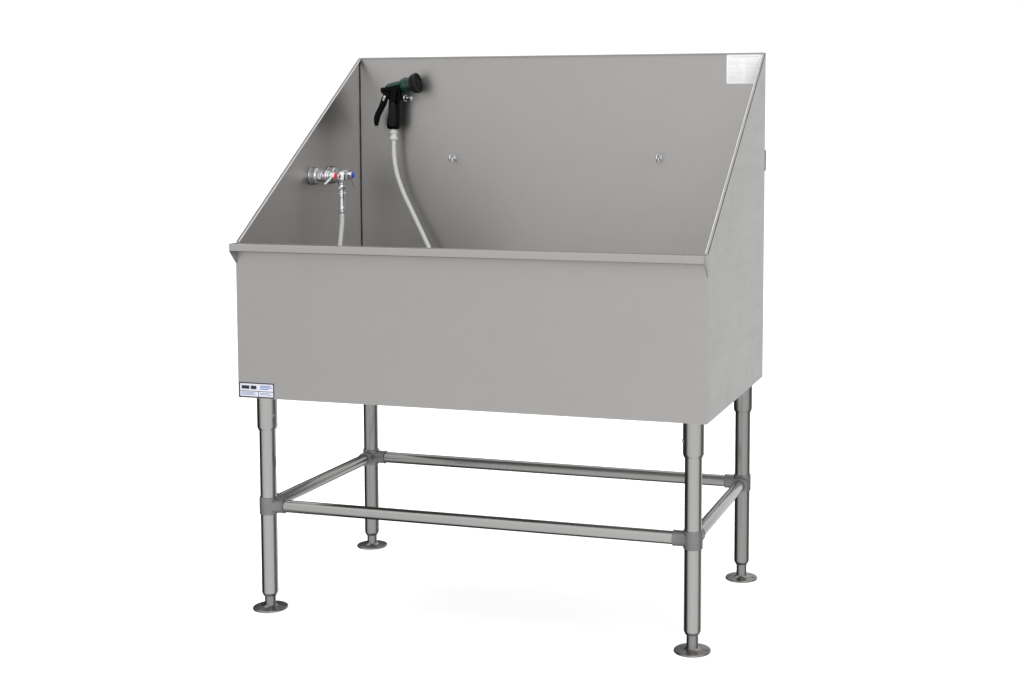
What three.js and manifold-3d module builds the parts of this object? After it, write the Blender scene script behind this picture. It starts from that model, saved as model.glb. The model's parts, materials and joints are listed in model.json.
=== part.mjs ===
// Free-standing stainless pet grooming bathtub: a deep sheet-metal basin with sloped side walls and a tall splash back,
// standing on four tubular legs braced by a ring of tubes, with a two-lever mixer tap, a hose and a pistol sprayer.
// Millimetres. +X runs to the right along the front, +Y runs from the front panel to the splash back, +Z is up, the floor is z = 0.
import * as THREE from "three";
import { mergeVertices } from "three/addons/utils/BufferGeometryUtils.js";
import Module from "manifold-3d";

const wasm = await Module();
wasm.setup();

// ---------------------------------------------------------------- driving dimensions
const TUB_W = 1219.2; // 48 in, outside of one side panel to the outside of the other
const TUB_D = 685.8; // 27 in, front panel face to splash back rear face
const SHEET = 2.0; // sheet thickness
const GAP = 0.3; // gap left between touching pieces
const Z_BOTTOM = 562; // lower edge of the panels
const Z_RIM = 955; // top of the front rim
const Z_TOP = 1455; // top of the splash back
const RIM_OUT = 30.9; // how far the front rim projects
const RIM_H = 20; // height of the rim's front face
const HEM_W = 7; // width of the folded hem along the sloped and top edges
const HEM_T = 3;
const FLOOR_EDGE = 584; // basin floor, top face at its edge
const FLOOR_LOW = 572; // basin floor, top face around the drain
const FLOOR_FLAT = 100; // half side of the level square round the drain
const DRAIN = [0, 343]; // drain centre
const LEG_X = 564;
const LEG_Y_FRONT = 59;
const LEG_Y_BACK = 641.5;
const LEG_R = 20.64; // 1 5/8 in tube
const LEG_BORE = 18.6;
const LEG_END_LEFT = 34; // lower end of the left legs
const LEG_END_RIGHT = 41.5; // lower end of the right legs
const SOCKET_R = 25.4;
const SOCKET_END = 470.6;
const RAIL_Z = 272.5;
const RAIL_R = 15.9; // 1 1/4 in tube
const RAIL_BORE = 14.2;
const TEE_R = 23.4;
const TEE_H = 45;
const TEE_ARM_R = 18.6;
const TEE_ARM = 48; // reach of an arm from the leg's axis
const FOOT_R = 44.45; // 3 1/2 in flange
const STEM_R = 13.9;
const TAP_Z = 1114;
const TAP_Y_HOT = 389;
const TAP_Y_COLD = 491; // 4 in centres
const TAP_OUT_Y = 440;
const SHANK_OUT = 38; // length of the supply shanks outside the left panel
const BUMPER_T = 24;
const GUN_X = -4.6; // sprayer placed from its own drawing
const GUN_Y = 648;
const HOSE_R = 6.5;

const W2 = TUB_W / 2;
const X_IN = W2 - SHEET; // inner face of a side panel
const Y_BACK = TUB_D - SHEET; // inner face of the splash back
const Z_SLOPE = (y) => Z_RIM + ((y - 0) / TUB_D) * (Z_TOP - Z_RIM);
const FLOOR_TOP = (x, y) => {
  const s = Math.max(
    (Math.abs(x) - FLOOR_FLAT) / (X_IN - FLOOR_FLAT),
    (Math.abs(y - DRAIN[1]) - FLOOR_FLAT) / (DRAIN[1] - FLOOR_FLAT),
    0,
  );
  return FLOOR_LOW + s * (FLOOR_EDGE - FLOOR_LOW);
};

// ---------------------------------------------------------------- helpers
const FINENESS = 0.56; // share of the named number of sides that a round face really gets
const sides = (n) => (n <= 6 ? n : Math.max(8, 2 * Math.round((n * FINENESS) / 2)));
const V = (x, y, z) => new THREE.Vector3(x, y, z);

function solid(geometry) {
  const g = (geometry.index ? geometry.toNonIndexed() : geometry.clone());
  g.deleteAttribute("normal");
  g.deleteAttribute("uv");
  const m = mergeVertices(g, 1e-4);
  const tri = new Uint32Array(m.index.array);
  const make = () =>
    new wasm.Manifold(
      new wasm.Mesh({
        numProp: 3,
        vertProperties: m.attributes.position.array,
        triVerts: tri,
      }),
    );
  let s = make();
  if (s.volume() < 0) {
    for (let i = 0; i < tri.length; i += 3)
      [tri[i + 1], tri[i + 2]] = [tri[i + 2], tri[i + 1]];
    s = make();
  }
  return s;
}
const join = (...parts) => parts.reduce((a, b) => a.add(b));
const cut = (base, ...tools) => tools.reduce((a, b) => a.subtract(b), base);

function geometryOf(s) {
  const m = s.getMesh();
  const g = new THREE.BufferGeometry();
  const n = m.numProp;
  const pos = new Float32Array((m.vertProperties.length / n) * 3);
  for (let i = 0, k = 0; i < m.vertProperties.length; i += n)
    for (let j = 0; j < 3; j++) pos[k++] = m.vertProperties[i + j];
  g.setAttribute("position", new THREE.BufferAttribute(pos, 3));
  g.setIndex(new THREE.BufferAttribute(new Uint32Array(m.triVerts), 1));
  g.computeVertexNormals();
  return g;
}

// Box from its low corner to its high corner.
const box = (x0, y0, z0, x1, y1, z1) =>
  solid(
    new THREE.BoxGeometry(x1 - x0, y1 - y0, z1 - z0).translate(
      (x0 + x1) / 2,
      (y0 + y1) / 2,
      (z0 + z1) / 2,
    ),
  );

// Turned solid: the profile is [radius, height] pairs from the axis back to the axis, standing along axis from a start point.
function turned(profile, seg, axis, at) {
  const pts = profile.map(([r, h]) => new THREE.Vector2(r, h));
  const g = new THREE.LatheGeometry(pts, sides(seg));
  const q = new THREE.Quaternion().setFromUnitVectors(
    V(0, 1, 0),
    (axis || V(0, 0, 1)).clone().normalize(),
  );
  g.applyQuaternion(q);
  if (at) g.translate(at.x, at.y, at.z);
  return solid(g);
}
const rod = (r, from, to, seg = 20) => {
  const d = to.clone().sub(from);
  const h = d.length();
  return turned([[0, 0], [r, 0], [r, h], [0, h]], seg, d, from);
};
// Straight round tube, open at both ends.
const pipe = (r, bore, from, to, seg = 28) => {
  const d = to.clone().sub(from);
  const h = d.length();
  return turned(
    [[bore, 0], [r, 0], [r, h], [bore, h], [bore, 0]],
    seg,
    d,
    from,
  );
};
// Outline [a, b] pushed along an axis: plane "yz" pushes along +X, "xz" along +Y, "xy" along +Z.
function plate(outline, plane, from, to, bevel = 0) {
  const s = new THREE.Shape(outline.map(([a, b]) => new THREE.Vector2(a, b)));
  const g = new THREE.ExtrudeGeometry(s, {
    depth: to - from - 2 * bevel,
    steps: 1,
    curveSegments: 8,
    bevelEnabled: bevel > 0,
    bevelThickness: bevel,
    bevelSize: bevel,
    bevelOffset: -bevel,
    bevelSegments: 1,
  });
  g.translate(0, 0, from + bevel);
  const m = new THREE.Matrix4();
  if (plane === "yz") m.makeBasis(V(0, 1, 0), V(0, 0, 1), V(1, 0, 0));
  else if (plane === "xz") m.makeBasis(V(1, 0, 0), V(0, 0, 1), V(0, 1, 0));
  else m.identity();
  g.applyMatrix4(m);
  return solid(g);
}
const hex = (flats, from, to) => {
  const d = to.clone().sub(from);
  const h = d.length();
  const r = flats / Math.sqrt(3);
  return turned([[0, 0], [r, 0], [r, h], [0, h]], 6, d, from);
};
const ring = (r, wire, seg, round) => new THREE.TorusGeometry(r, wire, round, seg);
function tubeAlong(points, r, round, steps) {
  const curve = new THREE.CatmullRomCurve3(points, false, "centripetal");
  const s = new THREE.Shape();
  for (let i = 0; i < round; i++) {
    const a = (i / round) * Math.PI * 2;
    if (i) s.lineTo(r * Math.cos(a), r * Math.sin(a));
    else s.moveTo(r, 0);
  }
  return solid(
    new THREE.ExtrudeGeometry(s, { steps, extrudePath: curve, bevelEnabled: false }),
  );
}

// ---------------------------------------------------------------- materials
const mat = (color, roughness, metalness) =>
  new THREE.MeshStandardMaterial({ color, roughness, metalness });
const STEEL = () => mat(0xa9a9a6, 0.38, 1);
const TUBE = () => mat(0xb2b2ae, 0.3, 1);
const CAST = () => mat(0x7b7b78, 0.6, 0.8);
const CHROME = () => mat(0xdcdcdc, 0.12, 1);
const BLACK = () => mat(0x1b1b1b, 0.55, 0);
const GREEN = () => mat(0x0b3a2b, 0.3, 0.4);

const tub = new THREE.Group();
function add(name, s, material, parent = tub, x = 0, y = 0, z = 0) {
  const m = new THREE.Mesh(geometryOf(s), material);
  m.name = name;
  m.position.set(x, y, z);
  parent.add(m);
  return m;
}

// ---------------------------------------------------------------- basin sheet metal
add("front_panel", box(-W2, 0, Z_BOTTOM, W2, SHEET, Z_RIM - SHEET - GAP), STEEL());

// Front rim: the top edge folded forwards, down and back under itself.
add(
  "front_rim",
  plate(
    [
      [-RIM_OUT, Z_RIM - RIM_H],
      [-RIM_OUT + 11, Z_RIM - RIM_H],
      [-RIM_OUT + 11, Z_RIM - RIM_H + SHEET],
      [-RIM_OUT + SHEET, Z_RIM - RIM_H + SHEET],
      [-RIM_OUT + SHEET, Z_RIM - SHEET],
      [SHEET, Z_RIM - SHEET],
      [SHEET, Z_RIM],
      [-RIM_OUT, Z_RIM],
    ],
    "yz",
    -X_IN + GAP,
    X_IN - GAP,
  ),
  STEEL(),
);
// Triangular ears that close the rim's ends and carry them on the front panel.
for (const [side, x] of [["left", -W2], ["right", X_IN]])
  add(
    "rim_gusset_" + side,
    plate(
      [[-RIM_OUT, Z_RIM], [-RIM_OUT, Z_RIM - RIM_H], [-GAP, Z_RIM - 52], [-GAP, Z_RIM]],
      "yz",
      x,
      x + SHEET,
    ),
    STEEL(),
  );

// Side panels: sloped top edge with a folded hem on the inside.
const sideOutline = [
  [SHEET + GAP, Z_BOTTOM],
  [TUB_D, Z_BOTTOM],
  [TUB_D, Z_TOP],
  [SHEET + GAP, Z_SLOPE(SHEET + GAP)],
];
const slope = Math.atan2(Z_TOP - Z_RIM, TUB_D);
const hemDrop = HEM_T / Math.cos(slope);
const hemOutline = [
  [SHEET + GAP, Z_SLOPE(SHEET + GAP) - hemDrop],
  [Y_BACK - GAP, Z_SLOPE(Y_BACK - GAP) - hemDrop],
  [Y_BACK - GAP, Z_SLOPE(Y_BACK - GAP)],
  [SHEET + GAP, Z_SLOPE(SHEET + GAP)],
];
const shankHole = (y) => rod(11, V(-W2 - 5, y, TAP_Z), V(-X_IN + 5, y, TAP_Z), 24);
add(
  "side_panel_left",
  cut(
    join(
      plate(sideOutline, "yz", -W2, -X_IN),
      plate(hemOutline, "yz", -W2, -W2 + HEM_W),
    ),
    shankHole(TAP_Y_HOT),
    shankHole(TAP_Y_COLD),
  ),
  STEEL(),
);
add(
  "side_panel_right",
  join(
    plate(sideOutline, "yz", X_IN, W2),
    plate(hemOutline, "yz", W2 - HEM_W, W2),
  ),
  STEEL(),
);

// Splash back with a hem along its top edge and holes for the three eye bolts.
const EYES = [
  ["eye_bolt_left", -309, 1162, 21],
  ["eye_bolt_right", 311, 1166, 21],
  ["eye_bolt_sprayer", -441 + GUN_X, 1336, Y_BACK - 650],
];
let back = join(
  box(-X_IN + GAP, Y_BACK, Z_BOTTOM, X_IN - GAP, TUB_D, Z_TOP),
  box(-W2 + HEM_W + GAP, Y_BACK - HEM_W + SHEET, Z_TOP - HEM_T, W2 - HEM_W - GAP, Y_BACK + 0.5, Z_TOP),
);
for (const [, x, z] of EYES)
  back = cut(back, rod(3.3, V(x, Y_BACK - 3, z), V(x, TUB_D + 3, z), 16));
add("back_panel", back, STEEL());

// Basin floor: a shallow four-sided funnel with a level square round the drain.
{
  const ox = X_IN - GAP, y0 = SHEET + GAP, y1 = Y_BACK - GAP, f = FLOOR_FLAT;
  const quad = (z, h) => [
    [-h[0], h[1], z], [h[0], h[1], z], [h[0], h[2], z], [-h[0], h[2], z],
  ];
  const P = [
    ...quad(FLOOR_EDGE, [ox, y0, y1]),
    ...quad(FLOOR_LOW, [f, DRAIN[1] - f, DRAIN[1] + f]),
    ...quad(FLOOR_EDGE - SHEET, [ox, y0, y1]),
    ...quad(FLOOR_LOW - SHEET, [f, DRAIN[1] - f, DRAIN[1] + f]),
  ];
  const idx = [];
  const face = (a, b, c, d) => idx.push(a, b, c, a, c, d);
  for (let i = 0; i < 4; i++) {
    const j = (i + 1) % 4;
    face(i, j, 4 + j, 4 + i); // upper slope
    face(8 + j, 8 + i, 12 + i, 12 + j); // lower slope
    face(8 + i, 8 + j, j, i); // outer edge
  }
  face(4, 5, 6, 7);
  face(15, 14, 13, 12);
  const g = new THREE.BufferGeometry();
  g.setAttribute("position", new THREE.Float32BufferAttribute(P.flat(), 3));
  g.setIndex(idx);
  add(
    "basin_floor",
    cut(solid(g), rod(31, V(DRAIN[0], DRAIN[1], 560), V(DRAIN[0], DRAIN[1], 590), 32)),
    STEEL(),
  );
}

// Channels under the floor that carry the leg sockets.
for (const [side, sx] of [["left", -1], ["right", 1]])
  add(
    "underframe_channel_" + side,
    plate(
      [[-30, 566], [30, 566], [30, 579.8], [28, 579.8], [28, 568], [-28, 568], [-28, 579.8], [-30, 579.8]],
      "xz",
      SHEET + GAP + 1,
      Y_BACK - GAP - 1,
    ),
    STEEL(),
    tub,
    sx * LEG_X,
  );

// ---------------------------------------------------------------- drain
const drain = new THREE.Group();
drain.position.set(DRAIN[0], DRAIN[1], 0);
tub.add(drain);
// Funnel flange pressed into the floor hole, threaded below.
add(
  "drain_flange",
  turned(
    [[19, 540], [28.5, 540], [28.5, 572.3], [44, 572.3], [44, 574.3], [36, 575.2], [27.6, 573.6], [26, 570.5], [26, 566.6], [19, 565], [19, 540]],
    36,
  ),
  STEEL(),
  drain,
);
add("drain_gasket", pipe(41, 29.8, V(0, 0, 566.5), V(0, 0, 569.6), 36), BLACK(), drain);
add(
  "drain_locknut",
  cut(hex(74, V(0, 0, 556), V(0, 0, 566.1)), rod(29.1, V(0, 0, 550), V(0, 0, 570), 32)),
  CAST(),
  drain,
);
add("drain_tailpiece", pipe(19.05, 17.2, V(0, 0, 500), V(0, 0, 539.7), 24), STEEL(), drain);
// Flat perforated strainer that lifts out by its knob.
{
  let s = turned([[0, 567.2], [24.8, 567.2], [25, 569.4], [8, 570.4], [5, 572], [6.5, 578], [5, 581], [0, 581.5]], 32);
  for (let i = 0; i < 6; i++) {
    const a = (i / 6) * Math.PI * 2;
    s = cut(s, rod(3, V(17 * Math.cos(a), 17 * Math.sin(a), 560), V(17 * Math.cos(a), 17 * Math.sin(a), 575), 10));
  }
  add("strainer", s, STEEL(), drain);
}

// ---------------------------------------------------------------- legs, sockets, feet
const CORNERS = [
  ["front_left", -1, LEG_Y_FRONT, LEG_END_LEFT],
  ["front_right", 1, LEG_Y_FRONT, LEG_END_RIGHT],
  ["back_left", -1, LEG_Y_BACK, LEG_END_LEFT],
  ["back_right", 1, LEG_Y_BACK, LEG_END_RIGHT],
];
for (const [corner, sx, y, end] of CORNERS) {
  const at = new THREE.Group();
  at.position.set(sx * LEG_X, y, 0);
  tub.add(at);
  add(
    "leg_socket_" + corner,
    join(
      box(-42.5, -42, 561.9, 42.5, 41.5, 565.7),
      turned(
        [
          [LEG_R + 0.3, SOCKET_END], [SOCKET_R - 2.6, SOCKET_END], [SOCKET_R, SOCKET_END + 8], [SOCKET_R, 562.4],
          [LEG_R + 0.3, 562.4], [LEG_R + 0.3, SOCKET_END],
        ],
        32,
      ),
    ),
    TUBE(),
    at,
  );
  // Leg tube with its pressed-in, chamfered insert for the foot's stem.
  add(
    "leg_" + corner,
    turned(
      [
        [STEM_R + 0.3, end], [16.4, end], [LEG_R, end + 9], [LEG_R, 556], [LEG_BORE, 556], [LEG_BORE, end + 34],
        [STEM_R + 0.3, end + 30], [STEM_R + 0.3, end],
      ],
      32,
    ),
    TUBE(),
    at,
  );
  // Flanged adjustable foot: disc with two bolt holes and a stem that screws into the leg.
  let foot = turned(
    [[0, 0], [FOOT_R - 1, 0], [FOOT_R, 1], [FOOT_R, 3.6], [FOOT_R - 1.5, 5], [20, 6.2], [STEM_R, 10], [STEM_R, end + 44], [STEM_R - 2, end + 46], [0, end + 46]],
    36,
  );
  for (const s of [-1, 1])
    foot = cut(foot, rod(4.5, V(s * 33, 0, -2), V(s * 33, 0, 10), 14));
  add("foot_" + corner, foot, STEEL(), at);
}

// ---------------------------------------------------------------- brace ring
for (const [corner, sx, y] of CORNERS) {
  const sy = y < 300 ? 1 : -1;
  const at = new THREE.Group();
  at.position.set(sx * LEG_X, y, RAIL_Z);
  tub.add(at);
  const c = V(0, 0, 0);
  let tee = join(
    turned(
      [[0, -TEE_H / 2], [TEE_R - 1.2, -TEE_H / 2], [TEE_R, -TEE_H / 2 + 1.2], [TEE_R, TEE_H / 2 - 1.2], [TEE_R - 1.2, TEE_H / 2], [0, TEE_H / 2]],
      28,
    ),
    rod(TEE_ARM_R, c, V(-sx * TEE_ARM, 0, 0), 24),
    rod(TEE_ARM_R, c, V(0, sy * TEE_ARM, 0), 24),
  );
  tee = cut(
    tee,
    rod(LEG_R + 0.3, V(0, 0, -40), V(0, 0, 40), 32),
    rod(RAIL_R + 0.3, c, V(-sx * 60, 0, 0), 28),
    rod(RAIL_R + 0.3, c, V(0, sy * 60, 0), 28),
  );
  add("tee_" + corner, tee, CAST(), at);
}
const RAIL_START = 23.6; // the rails stop just short of the leg tubes, inside the tee arms
for (const [name, y] of [["rail_front", LEG_Y_FRONT], ["rail_back", LEG_Y_BACK]])
  add(name, pipe(RAIL_R, RAIL_BORE, V(-LEG_X + RAIL_START, 0, 0), V(LEG_X - RAIL_START, 0, 0)), TUBE(), tub, 0, y, RAIL_Z);
for (const [name, sx] of [["rail_left", -1], ["rail_right", 1]])
  add(
    name,
    pipe(RAIL_R, RAIL_BORE, V(0, LEG_Y_FRONT + RAIL_START, 0), V(0, LEG_Y_BACK - RAIL_START, 0)),
    TUBE(),
    tub,
    sx * LEG_X,
    0,
    RAIL_Z,
  );

// ---------------------------------------------------------------- eye bolts, bumpers, plates
for (const [name, x, z, out] of EYES) {
  const R = name === "eye_bolt_sprayer" ? 9.2 : 10.2;
  const wire = name === "eye_bolt_sprayer" ? 2 : 2.2;
  const g = ring(R, wire, 14, 6).rotateY(Math.PI / 2).translate(0, -out, 0);
  let s = join(
    solid(g),
    rod(2.8, V(0, -out + R - 0.4, 0), V(0, SHEET + 9, 0), 14),
    rod(7.5, V(0, -3.2, 0), V(0, -GAP, 0), 20),
    hex(11, V(0, SHEET + GAP, 0), V(0, SHEET + 6, 0)),
  );
  add(name, s, CHROME(), tub, x, Y_BACK, z);
}
for (const [side, x0] of [["left", -W2 + 1], ["right", W2 - 41]])
  add(
    "bumper_" + side,
    plate([[x0, 1130.7], [x0 + 40, 1130.7], [x0 + 40, 1191.6], [x0, 1191.6]], "xz", TUB_D + GAP, TUB_D + BUMPER_T, 2.5),
    BLACK(),
  );
add("rating_plate", box(-607.5, -1.2, 562.8, -507, -GAP, 602), mat(0xe8e8e8, 0.5, 0));
add("instruction_label", box(501.3, Y_BACK - 1.0, 1371, 601, Y_BACK - GAP, 1450.8), mat(0xf0f0f0, 0.6, 0));

// ---------------------------------------------------------------- mixer tap on the left wall
const tap = new THREE.Group();
tap.position.set(-X_IN, 0, TAP_Z);
tub.add(tap);
for (const [side, y] of [["hot", TAP_Y_HOT], ["cold", TAP_Y_COLD]]) {
  // Wall flange in one with the threaded supply shank that passes through the wall.
  add(
    "wall_flange_" + side,
    cut(
      turned(
        [[0, -SHEET - SHANK_OUT], [10.4, -SHEET - SHANK_OUT], [10.4, GAP], [23, GAP], [23, 5], [21.5, 20], [19, 23.5], [0, 23.5]],
        32,
        V(1, 0, 0),
      ),
      turned([[0, -60], [7, -60], [7, 0], [0, 0]], 16, V(1, 0, 0)),
    ),
    CHROME(),
    tap,
    0,
    y,
    0,
  );
  add(
    "shank_locknut_" + side,
    cut(
      hex(34, V(-SHEET - 12, 0, 0), V(-SHEET - GAP, 0, 0)),
      rod(10.7, V(-30, 0, 0), V(0, 0, 0), 24),
    ),
    mat(0xb59a5b, 0.4, 1),
    tap,
    0,
    y,
    0,
  );
}
const OUT_X = 68; // outlet's distance from the wall
{
  const X = V(1, 0, 0);
  const valve = (y) =>
    join(
      hex(30, V(23.8, y, 0), V(36, y, 0)),
      turned(
        [[0, 35], [13, 35], [16.5, 39], [16.5, 50], [13.5, 52], [13.5, 56], [0, 56]],
        28,
        X,
        V(0, y, 0),
      ),
    );
  add(
    "faucet_body",
    join(
      valve(TAP_Y_HOT),
      valve(TAP_Y_COLD),
      rod(11.5, V(43, TAP_Y_HOT, -3), V(43, TAP_Y_COLD, -3), 24),
      rod(10.5, V(40, TAP_OUT_Y, -3), V(OUT_X - 4, TAP_OUT_Y, -3), 24),
      turned([[0, -26], [9.5, -26], [9.5, -20], [15, -12], [15, 6], [9, 12], [0, 13]], 24, V(0, 0, 1), V(OUT_X - 4, TAP_OUT_Y, 0)),
    ),
    CHROME(),
    tap,
  );
  // Vacuum breaker below the outlet, with its cross boss.
  add(
    "vacuum_breaker",
    join(
      turned([[0, -97], [8.4, -97], [8.4, -90], [7, -88], [7, -40], [8.8, -38], [8.8, -26.3], [0, -26.3]], 24),
      rod(3.6, V(-11, 0, -50), V(11, 0, -50), 14),
    ),
    CHROME(),
    tap,
    OUT_X - 4,
    TAP_OUT_Y,
    0,
  );
  add(
    "hose_coupling",
    turned([[0, -106], [7.5, -106], [8, -101.6], [11, -101], [11, -98], [8.5, -97.3], [0, -97.3]], 24),
    CHROME(),
    tap,
    OUT_X - 4,
    TAP_OUT_Y,
    0,
  );
  // Levers: the hub turns about the valve's axis, the arm points out from it.
  for (const [side, y, ang] of [["hot", TAP_Y_HOT, -155], ["cold", TAP_Y_COLD, -46]]) {
    const a = (ang * Math.PI) / 180;
    const dir = V(0, Math.cos(a), Math.sin(a));
    const arm = turned([[0, 0], [4.4, 0], [3.4, 26], [3.6, 48], [2.4, 52], [0, 52.6]], 16, dir, V(64.5, 0, 0));
    add(
      side + "_lever",
      join(
        turned([[0, 56.3], [11.5, 56.3], [11.8, 60], [10.6, 71], [9.8, 72], [0, 72]], 24, X),
        arm,
      ),
      CHROME(),
      tap,
      0,
      y,
      0,
    );
    add(
      side + "_index_button",
      turned([[0, 72.3], [9, 72.3], [9.4, 74], [7, 75.6], [0, 76]], 24, X),
      side === "hot" ? mat(0xc01830, 0.35, 0) : mat(0x1a3aa0, 0.35, 0),
      tap,
      0,
      y,
      0,
    );
  }
}

// ---------------------------------------------------------------- pistol sprayer
const gun = new THREE.Group();
gun.position.set(GUN_X, GUN_Y, 0);
tub.add(gun);
const TILT = (11 * Math.PI) / 180;
const U = V(Math.cos(TILT), 0, Math.sin(TILT)); // barrel direction
const FACE = V(-398, 0, 1379); // centre of the spray face
const along = (d) => FACE.clone().addScaledVector(U, -d); // point d behind the face on the barrel's axis
{
  // Casing: grip, barrel, and the hook under the neck that hangs in the wall's eye.
  const grip = plate(
    [
      [-487.3, 1353], [-491, 1290], [-495, 1275], [-497, 1257], [-495, 1247], [-491, 1244.6],
      [-466, 1244.6], [-460.5, 1248], [-457.6, 1262], [-456.8, 1290], [-455.4, 1325], [-451, 1345],
      [-449, 1368], [-480, 1363],
    ],
    "xz",
    -14.5,
    14.5,
    3,
  );
  const barrel = rod(14, along(54), along(99), 24);
  const bezel = turned([[0, 0], [15, 0], [20.5, 3], [22, 10], [22, 32], [0, 32]], 32, U, along(53));
  const valve = rod(8, along(109), along(95), 20);
  const hook = join(
    rod(2.3, V(-452.5, 0, 1352), V(-452.5, 0, 1332), 10),
    rod(2.3, V(-455, 0, 1332), V(-429, 0, 1332), 10),
  ).translate([0, 2, 0]);
  const cheek = (y) =>
    plate([[-506, 1352], [-488, 1352], [-490, 1333], [-497, 1331], [-505, 1332]], "xz", y, y + 2.4);
  const pivot = rod(1.8, V(-501, -10, 1338), V(-501, 10, 1338), 14);
  add(
    "sprayer_body",
    join(grip, barrel, bezel, valve, hook, cheek(-11), cheek(8.6), pivot),
    BLACK(),
    gun,
  );
  // Turning spray head.
  add(
    "sprayer_head",
    turned([[0, 0.3], [22.5, 0.3], [26, 4], [29, 14], [30, 19], [29, 20.6], [25.5, 20.6], [25, 19], [0, 19]], 36, U, along(21)),
    BLACK(),
    gun,
  );
  add(
    "sprayer_flow_knob",
    turned([[0, 0], [7.5, 0], [9, 1.5], [9, 8.5], [7.5, 10], [0, 10]], 20, U, along(119.4)),
    BLACK(),
    gun,
  );
  // Rear trigger, hung from a pivot behind the grip's head.
  add(
    "sprayer_trigger",
    cut(plate(
      [
        [-496, 1343], [-508, 1342], [-513, 1337], [-516, 1326], [-523, 1310], [-533, 1293], [-538, 1279], [-538.6, 1266],
        [-536, 1256], [-533, 1253.5], [-529.5, 1256], [-526, 1268], [-522, 1282], [-512, 1300], [-503, 1316], [-499, 1326],
        [-495.6, 1334],
      ],
      "xz",
      -8,
      8,
      2,
    ), rod(2.3, V(-501, -10, 1338), V(-501, 10, 1338), 14)),
    BLACK(),
    gun,
  );
  // Wire clip on the near side that holds the trigger squeezed.
  add(
    "sprayer_hold_clip",
    join(
      rod(3.2, V(-499, -14.6, 1339), V(-499, -11.3, 1339), 14),
      plate([[-501, 1340], [-506.5, 1328], [-504, 1326.6], [-499.6, 1331], [-497, 1338.6]], "xz", -14.2, -12),
    ),
    CHROME(),
    gun,
  );
  // Hose coupling under the grip.
  add(
    "sprayer_coupling",
    turned([[0, 1214], [9.5, 1214], [11.6, 1216], [11.6, 1221], [8.6, 1224], [8.6, 1231], [11.6, 1234], [11.6, 1239], [8, 1240], [8, 1244.3], [0, 1244.3]], 24),
    mat(0xc9c9c9, 0.35, 0.5),
    gun,
    -478,
  );
}

// ---------------------------------------------------------------- hose
const HX = -X_IN + OUT_X - 4;
const onFloor = (x, y) => V(x, y, FLOOR_TOP(x, y) + HOSE_R + 1);
const HOSE_ROUTE = [
  V(HX, TAP_OUT_Y, TAP_Z - 106.4),
  V(HX, TAP_OUT_Y - 1, 985),
  V(HX - 2, 430, 925),
  V(HX - 3, 415, 860),
  V(HX - 3, 396, 790),
  V(HX - 1, 372, 722),
  V(HX + 2, 340, 660),
  V(HX + 6, 298, 614),
  V(-531, 262, 594.5),
  onFloor(-514, 220),
  onFloor(-488, 165),
  onFloor(-425, 128),
  onFloor(-352, 135),
  onFloor(-294, 188),
  onFloor(-264, 262),
  onFloor(-256, 345),
  V(-258, 418, 591.5),
  V(-268, 492, 634),
  V(-288, 550, 705),
  V(-308, 585, 775),
  V(-332, 610, 845),
  V(-366, 628, 904),
  V(-397, 636, 959),
  V(-427, 640, 1014),
  V(-455, 643, 1069),
  V(-473, 645.5, 1117.5),
  V(-481.5, 647.4, 1165),
  V(-478 + GUN_X, GUN_Y, 1190),
  V(-478 + GUN_X, GUN_Y, 1213.6),
];
add("hose", tubeAlong(HOSE_ROUTE, HOSE_R, 8, 60), mat(0xc4c4c4, 0.45, 0.3));

// The origin sits at the centre of the whole object's footprint, on the floor.
const object = new THREE.Group();
tub.position.set(
  SHANK_OUT / 2,
  -(TUB_D + BUMPER_T - RIM_OUT) / 2,
  0,
);
object.add(tub);
export default object;
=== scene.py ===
import json
import math
import random

import bmesh
import bpy
from mathutils import Matrix, Quaternion, Vector

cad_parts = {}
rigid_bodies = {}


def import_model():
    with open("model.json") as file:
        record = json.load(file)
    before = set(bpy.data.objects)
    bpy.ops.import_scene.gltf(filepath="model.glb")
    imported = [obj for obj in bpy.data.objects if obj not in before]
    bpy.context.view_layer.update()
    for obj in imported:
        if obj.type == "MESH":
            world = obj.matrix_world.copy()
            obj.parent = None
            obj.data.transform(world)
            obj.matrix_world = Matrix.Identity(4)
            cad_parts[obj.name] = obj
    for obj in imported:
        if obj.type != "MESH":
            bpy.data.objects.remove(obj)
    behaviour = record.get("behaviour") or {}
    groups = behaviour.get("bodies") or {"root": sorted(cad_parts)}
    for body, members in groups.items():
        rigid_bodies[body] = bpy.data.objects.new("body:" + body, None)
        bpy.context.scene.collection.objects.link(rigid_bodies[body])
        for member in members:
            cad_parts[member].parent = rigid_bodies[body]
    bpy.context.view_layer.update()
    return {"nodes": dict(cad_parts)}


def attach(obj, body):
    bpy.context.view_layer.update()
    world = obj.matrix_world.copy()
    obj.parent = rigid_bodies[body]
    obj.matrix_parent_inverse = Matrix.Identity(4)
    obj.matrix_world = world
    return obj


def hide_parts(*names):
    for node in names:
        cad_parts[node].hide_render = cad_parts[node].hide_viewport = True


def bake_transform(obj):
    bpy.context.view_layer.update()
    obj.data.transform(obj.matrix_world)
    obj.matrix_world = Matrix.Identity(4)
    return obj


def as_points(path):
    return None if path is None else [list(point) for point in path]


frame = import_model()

NODES = frame["nodes"]
scene = bpy.context.scene
OX, OY = 19.0, -339.45  # the tub's own drawing is offset from the row frame by this, in mm


def P(x, y, z):
    """A point of the tub's own drawing (mm) in the row frame (m)."""
    return Vector(((x + OX) / 1000, (y + OY) / 1000, z / 1000))


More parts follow.
